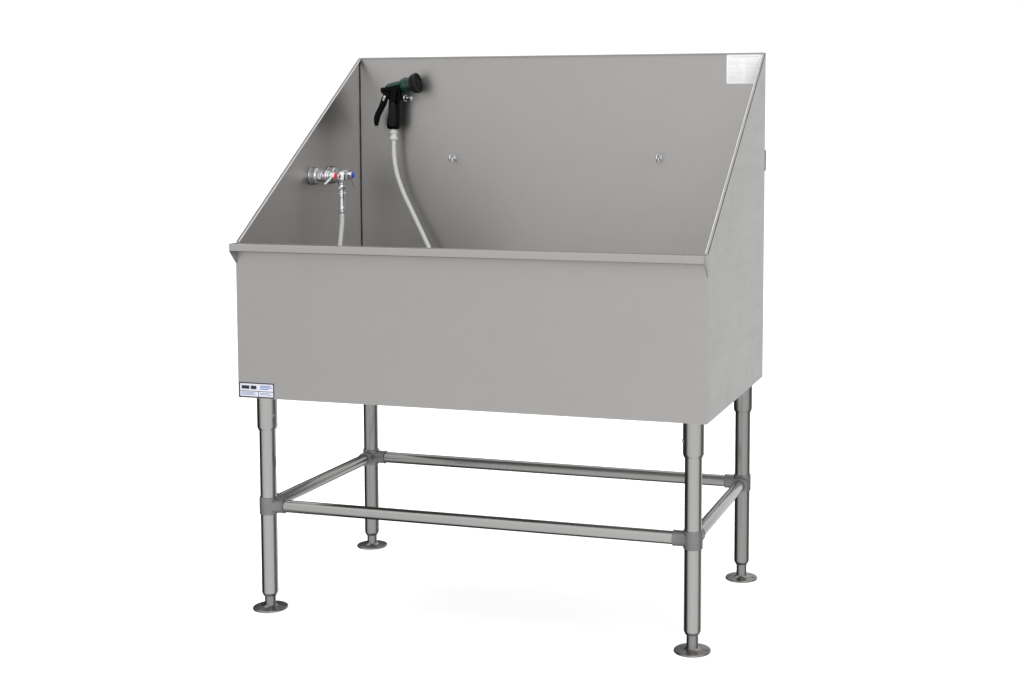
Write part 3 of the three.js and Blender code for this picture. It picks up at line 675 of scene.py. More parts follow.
for name, sx, y, end in CORNERS:
    x = sx * LEG_X
    # back legs and their sockets take the darker tube steel copy: painted shade, not a different steel
    lathe(
        "leg_tube_" + name,
        [(14.2, end), (16.4, end), (20.64, end + 9), (20.64, 556), (18.6, 556), (18.6, end + 34), (14.2, end + 30), (14.2, end)],
        z_up(x, y), mat="tube_back" if "back" in name else "tube", seg=72, fillet=1.3, replaces="leg_" + name, slot="stainless_tube",
    )
    plate = [(x - 42.5, y - 41.7), (x + 42.5, y - 41.7), (x + 42.5, y + 41.7), (x - 42.5, y + 41.7)]
    plate_obj = temp(prism_data(rounded(plate, 7, 5, closed=True), P, 561.9, 565.7, 0.6))
    sleeve = temp(lathe_data(rounded([(20.94, 470.6), (22.8, 470.6), (25.4, 478.6), (25.4, 562.0), (20.94, 562.0), (20.94, 470.6)], 0.8), z_up(x, y), (0, 0, 1), 72))
    both = join_data(([v.co.copy() for v in plate_obj.data.vertices], [tuple(p.vertices) for p in plate_obj.data.polygons]),
                     ([v.co.copy() for v in sleeve.data.vertices], [tuple(p.vertices) for p in sleeve.data.polygons]))
    for t in (plate_obj, sleeve):
        bpy.data.objects.remove(t, do_unlink=True)
    obj_from("leg_socket_" + name + "_body", *both, "tube_back" if "back" in name else "tube", replaces="leg_socket_" + name, slot="stainless_tube")
    # weld bead where the sleeve meets its plate
    bead = []
    rng = random.Random(name)
    for i in range(120):
        a = 2 * math.pi * i / 120
        r = 26.1 + 0.35 * math.sin(a * 38) + rng.uniform(-0.12, 0.12)
        bead.append(P(x + r * math.cos(a), y + r * math.sin(a), 560.6 + 0.3 * math.sin(a * 38 + 1)))
    v, f = sweep_data(bead, circle(0.0019, 8), closed=True)
    obj_from("socket_weld_" + name, v, f, "weld", slot="stainless_tube")
    ang = math.radians(-20 if sx < 0 else 200) * (1 if "front" in name else -1)
    d = Vector((math.cos(ang), math.sin(ang), 0))
    set_screw("socket_set_screw_" + name, P(x, y, 509.5) + d * 0.0272, d, r=3.6, length=4.0)

    # cast tee: upright collar with two arms, blended where they meet
    sy = 1 if "front" in name else -1
    collar_r, arm_r, half, reach, bore = 23.4, 18.6, 22.5, 48.0, 15.95
    collar = temp(lathe_data(rounded([(0, -half), (collar_r - 1.2, -half), (collar_r, -half + 1.2), (collar_r, half - 1.2), (collar_r - 1.2, half), (0, half)], 1.0), P(x, y, RAIL_Z), (0, 0, 1), 64))
    arms = []
    for ax in ((-sx, 0, 0), (0, sy, 0)):
        arms.append(temp(lathe_data(rounded([(0, 2), (arm_r, 2), (arm_r, reach - 3.4), (arm_r + 0.9, reach - 2.6), (arm_r + 0.9, reach - 0.8), (arm_r, reach), (0, reach)], 0.7), P(x, y, RAIL_Z), ax, 56)))
    tee = boolean(collar, arms)
    cuts = [temp(lathe_data([(0, -60), (20.8, -60), (20.8, 60), (0, 60)], P(x, y, RAIL_Z), (0, 0, 1), 72))]
    for ax in ((-sx, 0, 0), (0, sy, 0)):
        cuts.append(temp(lathe_data([(0, 24), (bore, 24), (bore, 60), (0, 60)], P(x, y, RAIL_Z), ax, 56)))
    tee = boolean(tee, cuts, "DIFFERENCE")
    b = tee.modifiers.new("casting_fillets", "BEVEL")
    b.width, b.segments, b.limit_method, b.angle_limit = 0.0012, 3, "ANGLE", math.radians(50)
    finish_piece(tee, "tee_fitting_" + name, "cast", angle=50, replaces="tee_" + name)
    diag = Vector((sx, -sy, 0)).normalized()
    set_screw("tee_leg_screw_" + name, P(x, y, RAIL_Z) + diag * 0.0236, diag, r=3.2, length=2.6, mat="foot")
    set_screw("tee_side_screw_" + name, P(x - sx * 39, y, RAIL_Z - 18.9), (0, 0, -1), r=2.9, length=2.4)
    set_screw("tee_depth_screw_" + name, P(x, y + sy * 39, RAIL_Z - 18.9), (0, 0, -1), r=2.9, length=2.4)

    # adjustable foot: pressed disc with two fixing holes, turned stem
    foot = temp(lathe_data(rounded([(0, 0), (43.45, 0), (44.45, 1), (44.45, 3.6), (42.95, 5), (20, 6.2), (13.9, 10), (13.9, end + 44), (11.9, end + 46), (0, end + 46)], 0.9), z_up(x, y), (0, 0, 1), 80))
    holes = [temp(lathe_data([(0, -3), (4.5, -3), (4.5, 12), (0, 12)], z_up(x + k * 33, y), (0, 0, 1), 32)) for k in (-1, 1)]
    foot = boolean(foot, holes, "DIFFERENCE")
    b = foot.modifiers.new("eased", "BEVEL")
    b.width, b.segments, b.limit_method, b.angle_limit = 0.0005, 2, "ANGLE", math.radians(55)
    finish_piece(foot, "foot_disc_" + name, "foot", "adjustable_foot_" + name, angle=40, replaces="foot_" + name)
    # thread ridges on the part of the stem that screws into the leg
    for j in range(9):
        ring = [P(x + 13.55 * math.cos(a), y + 13.55 * math.sin(a), end + 6 + 3.6 * j + 0.4 * a) for a in [2 * math.pi * q / 40 for q in range(40)]]
        ring = [Vector((p.x, p.y, (end + 6 + 3.6 * j) / 1000)) for p in ring]
        v, f = sweep_data(ring, circle(0.00055, 6), closed=True)
        obj_from(f"foot_thread_{name}_{j}", v, f, "foot", "adjustable_foot_" + name, slot="foot_steel")

START = 23.6
rail_len_x = 2 * (LEG_X - START)
rail_len_y = LEG_Y["back"] - LEG_Y["front"] - 2 * START
# the back and left rails take the darker tube steel copies: painted shade, not a different steel
for name, at, axis, length, mat in (
    ("rail_front", P(-LEG_X + START, LEG_Y["front"], RAIL_Z), (1, 0, 0), rail_len_x, "tube_x"),
    ("rail_back", P(-LEG_X + START, LEG_Y["back"], RAIL_Z), (1, 0, 0), rail_len_x, "tube_x_back"),
    ("rail_left", P(-LEG_X, LEG_Y["front"] + START, RAIL_Z), (0, 1, 0), rail_len_y, "tube_y_back"),
    ("rail_right", P(LEG_X, LEG_Y["front"] + START, RAIL_Z), (0, 1, 0), rail_len_y, "tube_y"),
):
    lathe(name + "_tube", [(14.2, 0), (15.9, 0), (15.9, length), (14.2, length), (14.2, 0)], at, axis, mat=mat, seg=56, fillet=0.5, replaces=name, slot="stainless_tube")

# ------------------------------------------------------------------ tub panels
def rim_profile():
    """The folded front rim in (y, z), as one 2 mm thick strip with rounded folds."""
    centre = [(-20.0, 936.0), (-29.9, 936.0), (-29.9, 954.0), (2.0, 954.0)]
    pts = rounded(centre, 2.6, 5)
    left, rightp = [], []
    for i, p in enumerate(pts):
        a = Vector(pts[max(0, i - 1)]); b = Vector(pts[min(len(pts) - 1, i + 1)])
        d = (b - a).normalized()
        nrm = Vector((-d.y, d.x))
        left.append(tuple(Vector(p) + nrm * 1.0)); rightp.append(tuple(Vector(p) - nrm * 1.0))
    return left + rightp[::-1]


v, f = prism_data(rim_profile(), lambda a, b, w: P(w, a, b), -607.3, 607.3)
obj_from("front_rim_fold", v, f, "steel_fold", replaces="front_rim", slot="brushed_stainless", angle=50)
for side, sx in (("left", -1), ("right", 1)):
    gus = rounded([(-30.9, 955), (-30.9, 935), (-0.3, 903), (-0.3, 955)], 1.6, 3, closed=True)
    a, b = sorted((sx * W2, sx * (W2 - 2.0)))
    v, f = prism_data(gus, lambda p, q, w: P(w, p, q), a, b, 0.5)
    obj_from("rim_gusset_end_" + side, v, f, "steel_y", replaces="rim_gusset_" + side, slot="brushed_stainless")

finish_cad("front_panel", "steel_x", 0.5)
finish_cad("back_panel", "steel_x", 0.6)
finish_cad("side_panel_left", "steel_y", 0.7)
finish_cad("side_panel_right", "steel_y", 0.7)
finish_cad("basin_floor", "steel_floor", 0.0)
for s_ in ("left", "right"):
    finish_cad("underframe_channel_" + s_, "steel_y", 0.6)

# sealed seams down the inside corners, with a slight hand-laid waver; the near-black back corner seams are part
# sealant, part painted shadow of the corner gap
def seam(name, pts, r, mat, body="tub"):
    line = []
    rng = random.Random(name)
    for a, b in zip(pts, pts[1:]):
        n = max(2, int((Vector(b) - Vector(a)).length / 14))
        for i in range(n):
            t = i / n
            line.append(P(*(Vector(a) * (1 - t) + Vector(b) * t)))
    line.append(P(*pts[-1]))
    v, f = sweep_data(line, circle(r / 1000, 8), scale=lambda t: (1 + 0.12 * math.sin(t * 61 + len(name)), 1 + 0.12 * math.cos(t * 47)))
    return obj_from(name, v, f, mat, slot="brushed_stainless")


for side, sx in (("left", -1), ("right", 1)):
    # near-black back corner line: part sealant, part painted shadow in the corner gap
    seam("back_corner_seam_" + side, [(sx * (X_IN - 0.4), Y_BACK - 0.4, 588), (sx * (X_IN - 0.4), Y_BACK - 0.4, 1451)], 2.1, "seam")
    seam("front_corner_weld_" + side, [(sx * (X_IN - 0.6), 2.9, 588), (sx * (X_IN - 0.6), 2.9, 948)], 1.3, "weld")
    seam("floor_edge_weld_" + side, [(sx * (X_IN - 0.8), 4, 585.4), (sx * (X_IN - 0.8), Y_BACK - 3, 585.4)], 1.6, "weld")
seam("floor_edge_weld_front", [(-X_IN + 3, 3.2, 585.4), (X_IN - 3, 3.2, 585.4)], 1.6, "weld")
seam("floor_edge_weld_back", [(-X_IN + 3, Y_BACK - 1.0, 585.4), (X_IN - 3, Y_BACK - 1.0, 585.4)], 1.6, "weld")

# cut edge and folded hem along the slopes: a near-black strip on the outer edge, painted shadow of the hem, and a
# bright strip on the fold inside, painted highlight
for side, sx in (("left", -1), ("right", 1)):
    zs = lambda y: 955 + (1455 - 955) * y / TUB_D
    seam("slope_raw_edge_" + side, [(sx * (W2 - 0.7), 4, zs(4) - 0.2), (sx * (W2 - 0.7), TUB_D - 2, zs(TUB_D - 2) - 0.2)], 1.0, "seam")
    seam("slope_fold_line_" + side, [(sx * (X_IN - 5.6), 4, zs(4) - 0.5), (sx * (X_IN - 5.6), Y_BACK - 6, zs(Y_BACK - 6) - 0.5)], 0.9, "fold_line")

# ------------------------------------------------------------------ rating plate and instruction sheet, with blank generic print
def slab(name, lo, hi, mat, bevel=0.2, **kw):
    x0, y0, z0 = lo
    x1, y1, z1 = hi
    v, f = prism_data([(x0, z0), (x1, z0), (x1, z1), (x0, z1)], lambda u, w_, d: P(u, d, w_), y0, y1, bevel)
    return obj_from(name, v, f, mat, **kw)


def print_lines(name, rects, y0, y1, mat):
    parts = [box_data((x0, y0, z0), (x1, y1, z1)) for x0, z0, x1, z1 in rects]
    v, f = join_data(*parts)
    return obj_from(name, v, f, mat, smooth=False, slot="plate_white")


slab("rating_plate_sheet", (-607.5, -1.2, 562.8), (-507, -0.3, 602), "plate", replaces="rating_plate", slot="plate_white")
px0, px1, pz0, pz1 = -607.5, -507.0, 562.8, 602.0
border = [
    (px0 + 0.3, pz1 - 3.4, px1 - 0.3, pz1 - 0.3), (px0 + 0.3, pz0 + 0.3, px1 - 0.3, pz0 + 3.4),
    (px0 + 0.3, pz0 + 3.4, px0 + 3.4, pz1 - 3.4), (px1 - 3.4, pz0 + 3.4, px1 - 0.3, pz1 - 3.4),
    (px0 + 3.4, pz0 + 16.2, px1 - 3.4, pz0 + 17.6), (px0 + 55, pz0 + 3.4, px0 + 56.4, pz0 + 16.2),
]
print_lines("rating_plate_border", border, -1.26, -1.19, "ink")
print_lines("rating_plate_heading", [(px0 + 8, pz0 + 22, px0 + 30, pz0 + 31), (px0 + 34, pz0 + 22, px0 + 50, pz0 + 31)], -1.26, -1.19, "ink")
bars = [(px0 + 60, pz0 + z_, px0 + 60 + w_, pz0 + z_ + 2.2) for z_, w_ in ((30, 30), (26, 34), (22, 24))]
bars += [(px0 + 6, pz0 + z_, px0 + 6 + w_, pz0 + z_ + 1.2) for z_, w_ in ((13, 40), (10, 36), (7, 42))]
bars += [(px0 + 60, pz0 + z_, px0 + 60 + w_, pz0 + z_ + 1.4) for z_, w_ in ((12, 28), (8, 32))]
print_lines("rating_plate_bars", bars, -1.26, -1.19, "ink_blue")

slab("instruction_sheet", (501.3, 682.8, 1371), (601, 683.5, 1450.8), "white", 0.15, replaces="instruction_label", slot="label_white")
rng = random.Random(11)
lines = [(513, 1442.6, 590, 1444.8)]
z_ = 1436.0
while z_ > 1377:
    for col in (506, 553.5):
        w_ = rng.uniform(30, 43)
        lines.append((col, z_, col + w_, z_ + 0.75))
    z_ -= 2.7 if rng.random() < 0.8 else 4.6
print_lines("instruction_sheet_lines", lines, 682.72, 682.81, "ink_grey")

# ------------------------------------------------------------------ eye bolts
def hex_nut(name, at, axis, across, length, mat, body="tub", bore=0.0, replaces=()):
    """Hexagon nut with its corners turned to a chamfer on both faces. at is the near face, axis the way it is thick."""
    d = Vector(axis).normalized()
    side = Vector((0, 0, 1)) if abs(d.z) < 0.9 else Vector((1, 0, 0))
    a = d.cross(side).normalized()
    b = d.cross(a)
    body_hex = temp(prism_data(hexagon(across / math.sqrt(3)), lambda u, v, w: at + (a * u + b * v + d * w) / 1000, 0, length))
    r = across / math.sqrt(3)
    cone = temp(lathe_data([(0, -0.2), (across / 2 - 0.2, -0.2), (r + 0.1, (r - across / 2) * 0.75), (r + 0.1, length - (r - across / 2) * 0.75), (across / 2 - 0.2, length + 0.2), (0, length + 0.2)], at, d, 48))
    nut = boolean(body_hex, [cone], "INTERSECT")
    if bore:
        nut = boolean(nut, [temp(lathe_data([(0, -3), (bore, -3), (bore, length + 3), (0, length + 3)], at, d, 40))], "DIFFERENCE")
    return finish_piece(nut, name, mat, body, angle=25, replaces=replaces)


def eye_bolt(name, x, z, out, ring_r, wire):
    y = Y_BACK - out
    ring = [P(x, y + ring_r * math.cos(a), z + ring_r * math.sin(a)) for a in [2 * math.pi * i / 64 for i in range(64)]]
    v, f = sweep_data(ring, circle(wire / 1000, 14), closed=True)
    neck = lathe_data(
        rounded([(0, 0), (2.9, 0), (2.8, 3), (2.8, out - ring_r - 4.6), (2.8, out - ring_r + 8.6), (2.4, out - ring_r + 9.4), (0, out - ring_r + 9.4)], 0.4),
        P(x, y + ring_r, z), (0, 1, 0), 28,
    )
    washer = lathe_data(rounded([(3, out - ring_r - 3.2), (7.5, out - ring_r - 3.2), (7.5, out - ring_r - 0.3), (3, out - ring_r - 0.3)], 0.35), P(x, y + ring_r, z), (0, 1, 0), 40)
    v, f = join_data((v, f), neck, washer)
    obj_from(name + "_ring", v, f, "chrome", replaces=name, slot="chrome")
    hex_nut(name + "_front_nut", P(x, Y_BACK - 7.4, z), (0, 1, 0), 10.5, 4.0, "zinc", bore=2.9)
    # thread showing in front of the nut
    for j in range(3):
        loop = [P(x + 2.85 * math.cos(a), Y_BACK - 8.4 - 1.1 * j, z + 2.85 * math.sin(a)) for a in [2 * math.pi * i / 24 for i in range(24)]]
        if out - ring_r - 4.6 > 2 + 1.1 * j + 8:
            v, f = sweep_data(loop, circle(0.0003, 6), closed=True)
            obj_from(f"{name}_thread_{j}", v, f, "zinc", slot="chrome")


eye_bolt("eye_bolt_left", -309, 1162, 21, 10.2, 2.2)
eye_bolt("eye_bolt_right", 311, 1166, 21, 10.2, 2.2)
eye_bolt("eye_bolt_sprayer", -445.6, 1336, 33.8, 9.2, 2.0)
for name, x, z in (("left", -309, 1162), ("right", 311, 1166), ("sprayer", -445.6, 1336)):
    hex_nut(f"eye_bolt_back_nut_{name}", P(x, TUB_D + 0.2, z), (0, 1, 0), 11, 4.4, "zinc", bore=2.9)

# ------------------------------------------------------------------ rear bumpers
for side, sx in (("left", -1), ("right", 1)):
    x0, x1 = sorted((sx * 568.6, sx * 608.6))
    outline = rounded([(x0, 1130.7), (x1, 1130.7), (x1, 1191.6), (x0, 1191.6)], 6, 5, closed=True)
    core = temp(prism_data(outline, lambda u, v, w: P(u, w, v), 686.1, 709.8, 2.2, 4))
    cuts = []
    for dz in (-18, -9, 9, 18):
        cuts.append(temp(box_data((x0 - 2, 707.6, 1161.1 + dz - 1.1), (x1 + 2, 712, 1161.1 + dz + 1.1))))
    cuts.append(temp(lathe_data([(0, 0), (6.5, 0), (6.5, 8), (0, 8)], P((x0 + x1) / 2, 704.5, 1161.1), (0, 1, 0), 32)))
    core = boolean(core, cuts, "DIFFERENCE")
    finish_piece(core, "bumper_block_" + side, "rubber", replaces="bumper_" + side, angle=45)
    lathe("bumper_screw_" + side, [(0, 0), (5.6, 0), (5.2, 2.0), (3.0, 3.1), (0, 3.3)], P((x0 + x1) / 2, 704.5, 1161.1), (0, 1, 0), "zinc", seg=32, fillet=0.5, slot="foot_steel")

# ------------------------------------------------------------------ tap
TX, TZ = -607.6, 1114.0
HOT_Y, COLD_Y, OUT_Y = 389.0, 491.0, 440.0
T = lambda x, y, z: P(TX + x, y, TZ + z)
for name, y in (("hot", HOT_Y), ("cold", COLD_Y)):
    lathe(
        "tap_flange_" + name,
        [(7, -40), (9.6, -40), (10.4, -39.2), (10.4, 0.3), (26, 0.3), (26, 4.0), (25.2, 5.2), (23.6, 19), (20.5, 23.5), (13.0, 23.5), (13.0, 22.6), (7, 22.6), (7, -40)],
        T(0, y, 0), (1, 0, 0), "chrome_dull", seg=72, fillet=1.2, replaces="wall_flange_" + name, slot="chrome",
    )
    for j in range(10):
        loop = [T(-37 + 2.0 * j, y + 10.45 * math.cos(a), 10.45 * math.sin(a)) for a in [2 * math.pi * i / 40 for i in range(40)]]
        v, f = sweep_data(loop, circle(0.0005, 6), closed=True)
        obj_from(f"tap_shank_thread_{name}_{j}", v, f, "brass", slot="brass")
    hex_nut("tap_shank_nut_" + name, T(-14, y, 0), (1, 0, 0), 34, 11.7, "brass", bore=10.7, replaces="shank_locknut_" + name)
    lathe("tap_gasket_" + name, [(11, -2.25), (17.5, -2.25), (17.5, -1.95), (11, -1.95), (11, -2.25)], T(0, y, 0), (1, 0, 0), "rubber", seg=40, slot="black_rubber")

valve = [(0, 35), (13, 35), (16.5, 39), (16.5, 50), (13.5, 52), (13.5, 56), (0, 56)]
bodies_ = []
for y in (HOT_Y, COLD_Y):
    bodies_.append(temp(lathe_data(rounded(valve, 1.6, 4), T(0, y, 0), (1, 0, 0), 56)))
    bodies_.append(temp(lathe_data(rounded([(0, 23.9), (12.4, 23.9), (12.4, 36.5), (0, 36.5)], 0.5), T(0, y, 0), (1, 0, 0), 48)))
cross = temp(lathe_data(rounded([(0, 0), (11.5, 0), (11.5, COLD_Y - HOT_Y), (0, COLD_Y - HOT_Y)], 1), T(43, HOT_Y, -3), (0, 1, 0), 48))
belly = temp(lathe_data(rounded([(0, 0), (13.5, 0), (13.5, 9), (11.2, 14), (10.6, 24), (0, 24)], 2.5, 4), T(38, OUT_Y, -3), (1, 0, 0), 48))
outlet = temp(lathe_data(rounded([(0, -26), (9.5, -26), (9.5, -20), (15, -12), (15, 6), (9, 12), (0, 13)], 2.2, 4), T(64, OUT_Y, 0), (0, 0, 1), 56))
tap = boolean(cross, [belly, outlet, *bodies_])
b = tap.modifiers.new("soft_joins", "BEVEL")
b.width, b.segments, b.limit_method, b.angle_limit = 0.0012, 3, "ANGLE", math.radians(40)
finish_piece(tap, "tap_body", "chrome", angle=50, replaces="faucet_body")
for name, y in (("hot", HOT_Y), ("cold", COLD_Y)):
    hex_nut("tap_union_nut_" + name, T(23.9, y, 0), (1, 0, 0), 30, 12.0, "chrome")
    lathe("tap_bonnet_ring_" + name, [(13.4, 51.6), (15.2, 51.6), (15.2, 54.2), (13.4, 54.2), (13.4, 51.6)], T(0, y, 0), (1, 0, 0), "chrome", seg=56, fillet=0.4, slot="chrome")

# anti-siphon barrel under the outlet, with its air ports, and the hose end
barrel = temp(lathe_data(rounded([(0, -97), (8.4, -97), (8.4, -90), (7, -88), (7, -62), (7.6, -60.5), (7.6, -40), (8.8, -38), (8.8, -26.3), (0, -26.3)], 0.9), T(64, OUT_Y, 0), (0, 0, 1), 56))
boss = temp(lathe_data(rounded([(0, -11), (3.6, -11), (3.6, 11), (0, 11)], 0.5), T(64, OUT_Y, -50), (1, 0, 0), 32))
barrel = boolean(barrel, [boss])
ports = [temp(lathe_data([(0, 9.2), (2.1, 9.2), (2.1, 14), (0, 14)], T(64, OUT_Y, -50), (k, 0, 0), 24)) for k in (-1, 1)]
ports += [temp(lathe_data([(0, 5.8), (1.9, 5.8), (1.9, 12), (0, 12)], T(64, OUT_Y, -50), (math.cos(a), math.sin(a), 0), 24)) for a in (math.radians(60), math.radians(240))]
barrel = boolean(barrel, ports, "DIFFERENCE")
finish_piece(barrel, "anti_siphon_barrel", "chrome", angle=40, replaces="vacuum_breaker")
lathe("anti_siphon_port_left", [(0, 9.3), (1.95, 9.3), (1.95, 9.8), (0, 9.8)], T(64, OUT_Y, -50), (-1, 0, 0), "rubber", seg=24, slot="black_rubber")
hex_nut("outlet_nut", T(64, OUT_Y, -37.9), (0, 0, 1), 17.2, 7.0, "chrome")
lathe(
    "hose_tail_collar",
    [(0, -106), (6.9, -106), (7.5, -105.4), (8, -101.6), (11, -101), (11, -98), (8.5, -97.3), (0, -97.3)],
    T(64, OUT_Y, 0), (0, 0, 1), "chrome", seg=56, fillet=0.5, replaces="hose_coupling", slot="chrome",
    ripple=lambda a, h: 1 + (0.02 * math.cos(a * 24) if -101.2 < h < -97.8 else 0),
)

ARM = [(0, 0), (4.4, 0), (3.5, 12), (3.3, 26), (3.55, 44), (3.7, 49), (3.2, 51.8), (1.6, 52.6), (0, 52.7)]
for name, y, deg, body in (("hot", HOT_Y, -155, "hot_handle"), ("cold", COLD_Y, -46, "cold_handle")):
    hub = temp(lathe_data(rounded([(0, 56.3), (11.5, 56.3), (11.8, 60), (10.6, 71), (9.8, 72), (0, 72)], 0.8), T(0, y, 0), (1, 0, 0), 56))
    a = math.radians(deg)
    d = (0, math.cos(a), math.sin(a))
    arm = temp(lathe_data(rounded(ARM, 0.9), T(64.5, y, 0), d, 36))
    lever = boolean(hub, [arm])
    b = lever.modifiers.new("soft_joins", "BEVEL")
    b.width, b.segments, b.limit_method, b.angle_limit = 0.0008, 3, "ANGLE", math.radians(45)
    finish_piece(lever, f"tap_lever_{name}", "chrome", body, angle=50, replaces=f"{name}_lever")
    lathe(
        f"tap_index_{name}", [(0, 72.3), (9, 72.3), (9.4, 74), (7, 75.6), (0, 76)], T(0, y, 0), (1, 0, 0),
        "red" if name == "hot" else "blue", body, seg=56, fillet=0.6, replaces=f"{name}_index_button", slot="red_plastic" if name == "hot" else "blue_plastic",
    )
    lathe(f"tap_index_rim_{name}", [(9.4, 71.9), (10.3, 71.9), (10.3, 73.2), (9.5, 73.2), (9.4, 71.9)], T(0, y, 0), (1, 0, 0), "chrome", body, seg=56, slot="chrome")

# ------------------------------------------------------------------ drain
D = (0, 343)
DP = P(D[0], D[1], 0)
lathe("drain_funnel", [(19, 540), (28.5, 540), (28.5, 572.3), (44, 572.3), (44, 574.3), (36, 575.2), (27.6, 573.6), (26, 570.5), (26, 566.6), (19, 565), (19, 540)], DP, mat="tube", seg=96, fillet=0.7, replaces="drain_flange", slot="brushed_stainless")
lathe("drain_seal", [(29.8, 566.5), (41, 566.5), (41, 569.6), (29.8, 569.6), (29.8, 566.5)], DP, mat="rubber", seg=72, fillet=0.6, replaces="drain_gasket", slot="black_rubber")
hex_nut("drain_nut", P(D[0], D[1], 556), (0, 0, 1), 74, 10.1, "cast", bore=29.1, replaces="drain_locknut")
lathe("drain_tail", [(17.2, 500), (19.05, 500), (19.05, 539.7), (17.2, 539.7), (17.2, 500)], DP, mat="tube", seg=72, fillet=0.3, replaces="drain_tailpiece", slot="brushed_stainless")
for j in range(5):
    loop = [P(D[0] + 28.55 * math.cos(a), D[1] + 28.55 * math.sin(a), 542 + 2.6 * j) for a in [2 * math.pi * i / 64 for i in range(64)]]
    v, f = sweep_data(loop, circle(0.0006, 6), closed=True)
    obj_from(f"drain_thread_{j}", v, f, "tube", slot="brushed_stainless")
plate = temp(lathe_data(rounded([(0, 567.2), (24.8, 567.2), (25, 569.4), (8, 570.4), (5, 572), (6.5, 578), (5, 581), (0, 581.5)], 0.8), DP, (0, 0, 1), 72))
cuts = []
for ring_r, count, hole in ((17, 6, 3.0), (22, 12, 1.5), (11.8, 8, 1.3)):
    for i in range(count):
        a = 2 * math.pi * (i + (0.5 if ring_r == 22 else 0)) / count
        cuts.append(temp(lathe_data([(0, 560), (hole, 560), (hole, 577), (0, 577)], DP + Vector((ring_r * math.cos(a), ring_r * math.sin(a), 0)) / 1000, (0, 0, 1), 20)))
plate = boolean(plate, cuts, "DIFFERENCE")
finish_piece(plate, "strainer_disc", "zinc", "strainer_plate", angle=35, replaces="strainer")

# ------------------------------------------------------------------ sprayer
TILT = math.radians(11)
UX, UZ = math.cos(TILT), math.sin(TILT)
FACE = Vector((-398, 0, 1379))
G = lambda x, y, z: P(GUN_X + x, GUN_Y + y, z)
UV = Vector((UX, 0, UZ))


def along(dist):
    p = FACE - UV * dist
    return G(p.x, p.y, p.z)


def gun_lathe(name, profile, dist, mat, body, **kw):
    return lathe(name, profile, along(dist), UV, mat, body, **kw)


grip_outline = [(-487.3, 1353), (-489.5, 1320), (-491, 1290), (-494.5, 1275), (-497, 1257), (-495, 1247), (-490, 1244.6), (-466, 1244.6), (-460.5, 1248), (-457.6, 1262), (-456.8, 1290), (-455.4, 1325), (-451, 1345), (-449, 1368), (-480, 1363)]
v, f = prism_data(rounded(grip_outline, 7, 4, closed=True), lambda u, w, d: G(u, d, w), -14.5, 14.5, 9.5, 9)
obj_from("sprayer_grip", v, f, "grip", "sprayer", angle=50, replaces="sprayer_body", slot="black_plastic")
# raised rubber inlay on each cheek of the grip, with ribs
for k in (-1, 1):
    inlay = [(-484.5, 1304), (-487, 1280), (-488.5, 1262), (-486, 1254), (-470, 1254), (-466, 1258), (-464.8, 1290), (-464, 1316), (-471, 1324), (-481, 1320)]
    a, b = sorted((k * 13.6, k * 15.1))
    v, f = prism_data(rounded(inlay, 6, 4, closed=True), lambda u, w, d: G(u, d, w), a, b, 0.7, 3)
    obj_from("sprayer_inlay_" + ("front" if k < 0 else "back"), v, f, "rubber", "sprayer", angle=50, slot="black_rubber")
    for j in range(7):
        z = 1262 + 7.6 * j
        a_, b_ = G(-485 + 0.5 * j, k * 15.0, z), G(-467.5 + 0.3 * j, k * 15.0, z + 1.5)
        v, f = sweep_data([a_.lerp(b_, t / 8) for t in range(9)], circle(0.0009, 8))
        obj_from(f"sprayer_rib_{'front' if k < 0 else 'back'}_{j}", v, f, "rubber", "sprayer", slot="black_rubber")

# barrel, its green cover and the bezel ring
gun_lathe("sprayer_barrel", [(0, -99 + 99), (13.2, 0), (14, 1.2), (14, 45), (0, 45)], 99, "plastic", "sprayer", seg=56, fillet=0.8, slot="black_plastic")
cover, n_ = [], 40
for i in range(29):
    t = i / 28
    dist = 97 - 46 * t
    swell = 1 + 0.10 * math.sin(math.pi * t) + 0.04 * t
    row = []
    for j in range(n_):
        a = math.radians(18) + math.radians(144) * j / (n_ - 1)
        r = 15.0 * swell - (0.9 if j in (0, n_ - 1) or i in (0, 28) else 0)
        side = math.cos(a) * r
        upv = math.sin(a) * r * 1.04
        row.append((dist, side, upv))
    cover.append(row)
cv, cf = [], []
for thick in (0.0, -1.9):
    for row in cover:
        for dist, side, upv in row:
            p = FACE - UV * dist
            L = math.hypot(side, upv)
            k = (L + thick) / L
            p = p + Vector((-UZ, 0, UX)) * (upv * k) + Vector((0, side * k, 0))
            cv.append(G(p.x, p.y, p.z))
rows = 29
off = rows * n_
for base in (0, off):
    for i in range(rows - 1):
        for j in range(n_ - 1):
            a = base + i * n_ + j
            cf.append((a, a + 1, a + n_ + 1, a + n_))
for i in range(rows - 1):
    for j in (0, n_ - 1):
        a = i * n_ + j
        cf.append((a, a + n_, a + n_ + off, a + off))
for j in range(n_ - 1):
    for i in (0, rows - 1):
        a = i * n_ + j
        cf.append((a, a + 1, a + 1 + off, a + off))
obj_from("sprayer_cover", cv, cf, "green", "sprayer", angle=50, slot="sprayer_casing")
gun_lathe("sprayer_bezel", [(0, 0), (15, 0), (17.5, 0.8), (20.5, 3), (21.6, 6.5), (22, 10), (22, 19.2), (21.2, 20), (21.2, 22), (22, 22.8), (22, 31), (21.4, 32), (0, 32)], 53, "green", "sprayer", seg=80, fillet=0.9, slot="sprayer_casing")
for j in range(8):
    a = 2 * math.pi * j / 8 + 0.2
    c = Vector((-UZ, 0, UX)) * math.sin(a) + Vector((0, 1, 0)) * math.cos(a)
    q = FACE - UV * 38.0 + c * 21.9
    v, f = sweep_data([G(*(q + UV * t)) for t in (-5.2, -2, 2, 5.2)], circle(0.0009, 8))
    obj_from(f"sprayer_bezel_rib_{j}", v, f, "green", "sprayer", slot="sprayer_casing")
gun_lathe("sprayer_valve_rod", [(0, 0), (8, 0), (8, 14.5), (0, 14.5)], 109, "plastic", "sprayer", seg=40, fillet=0.5, slot="black_plastic")
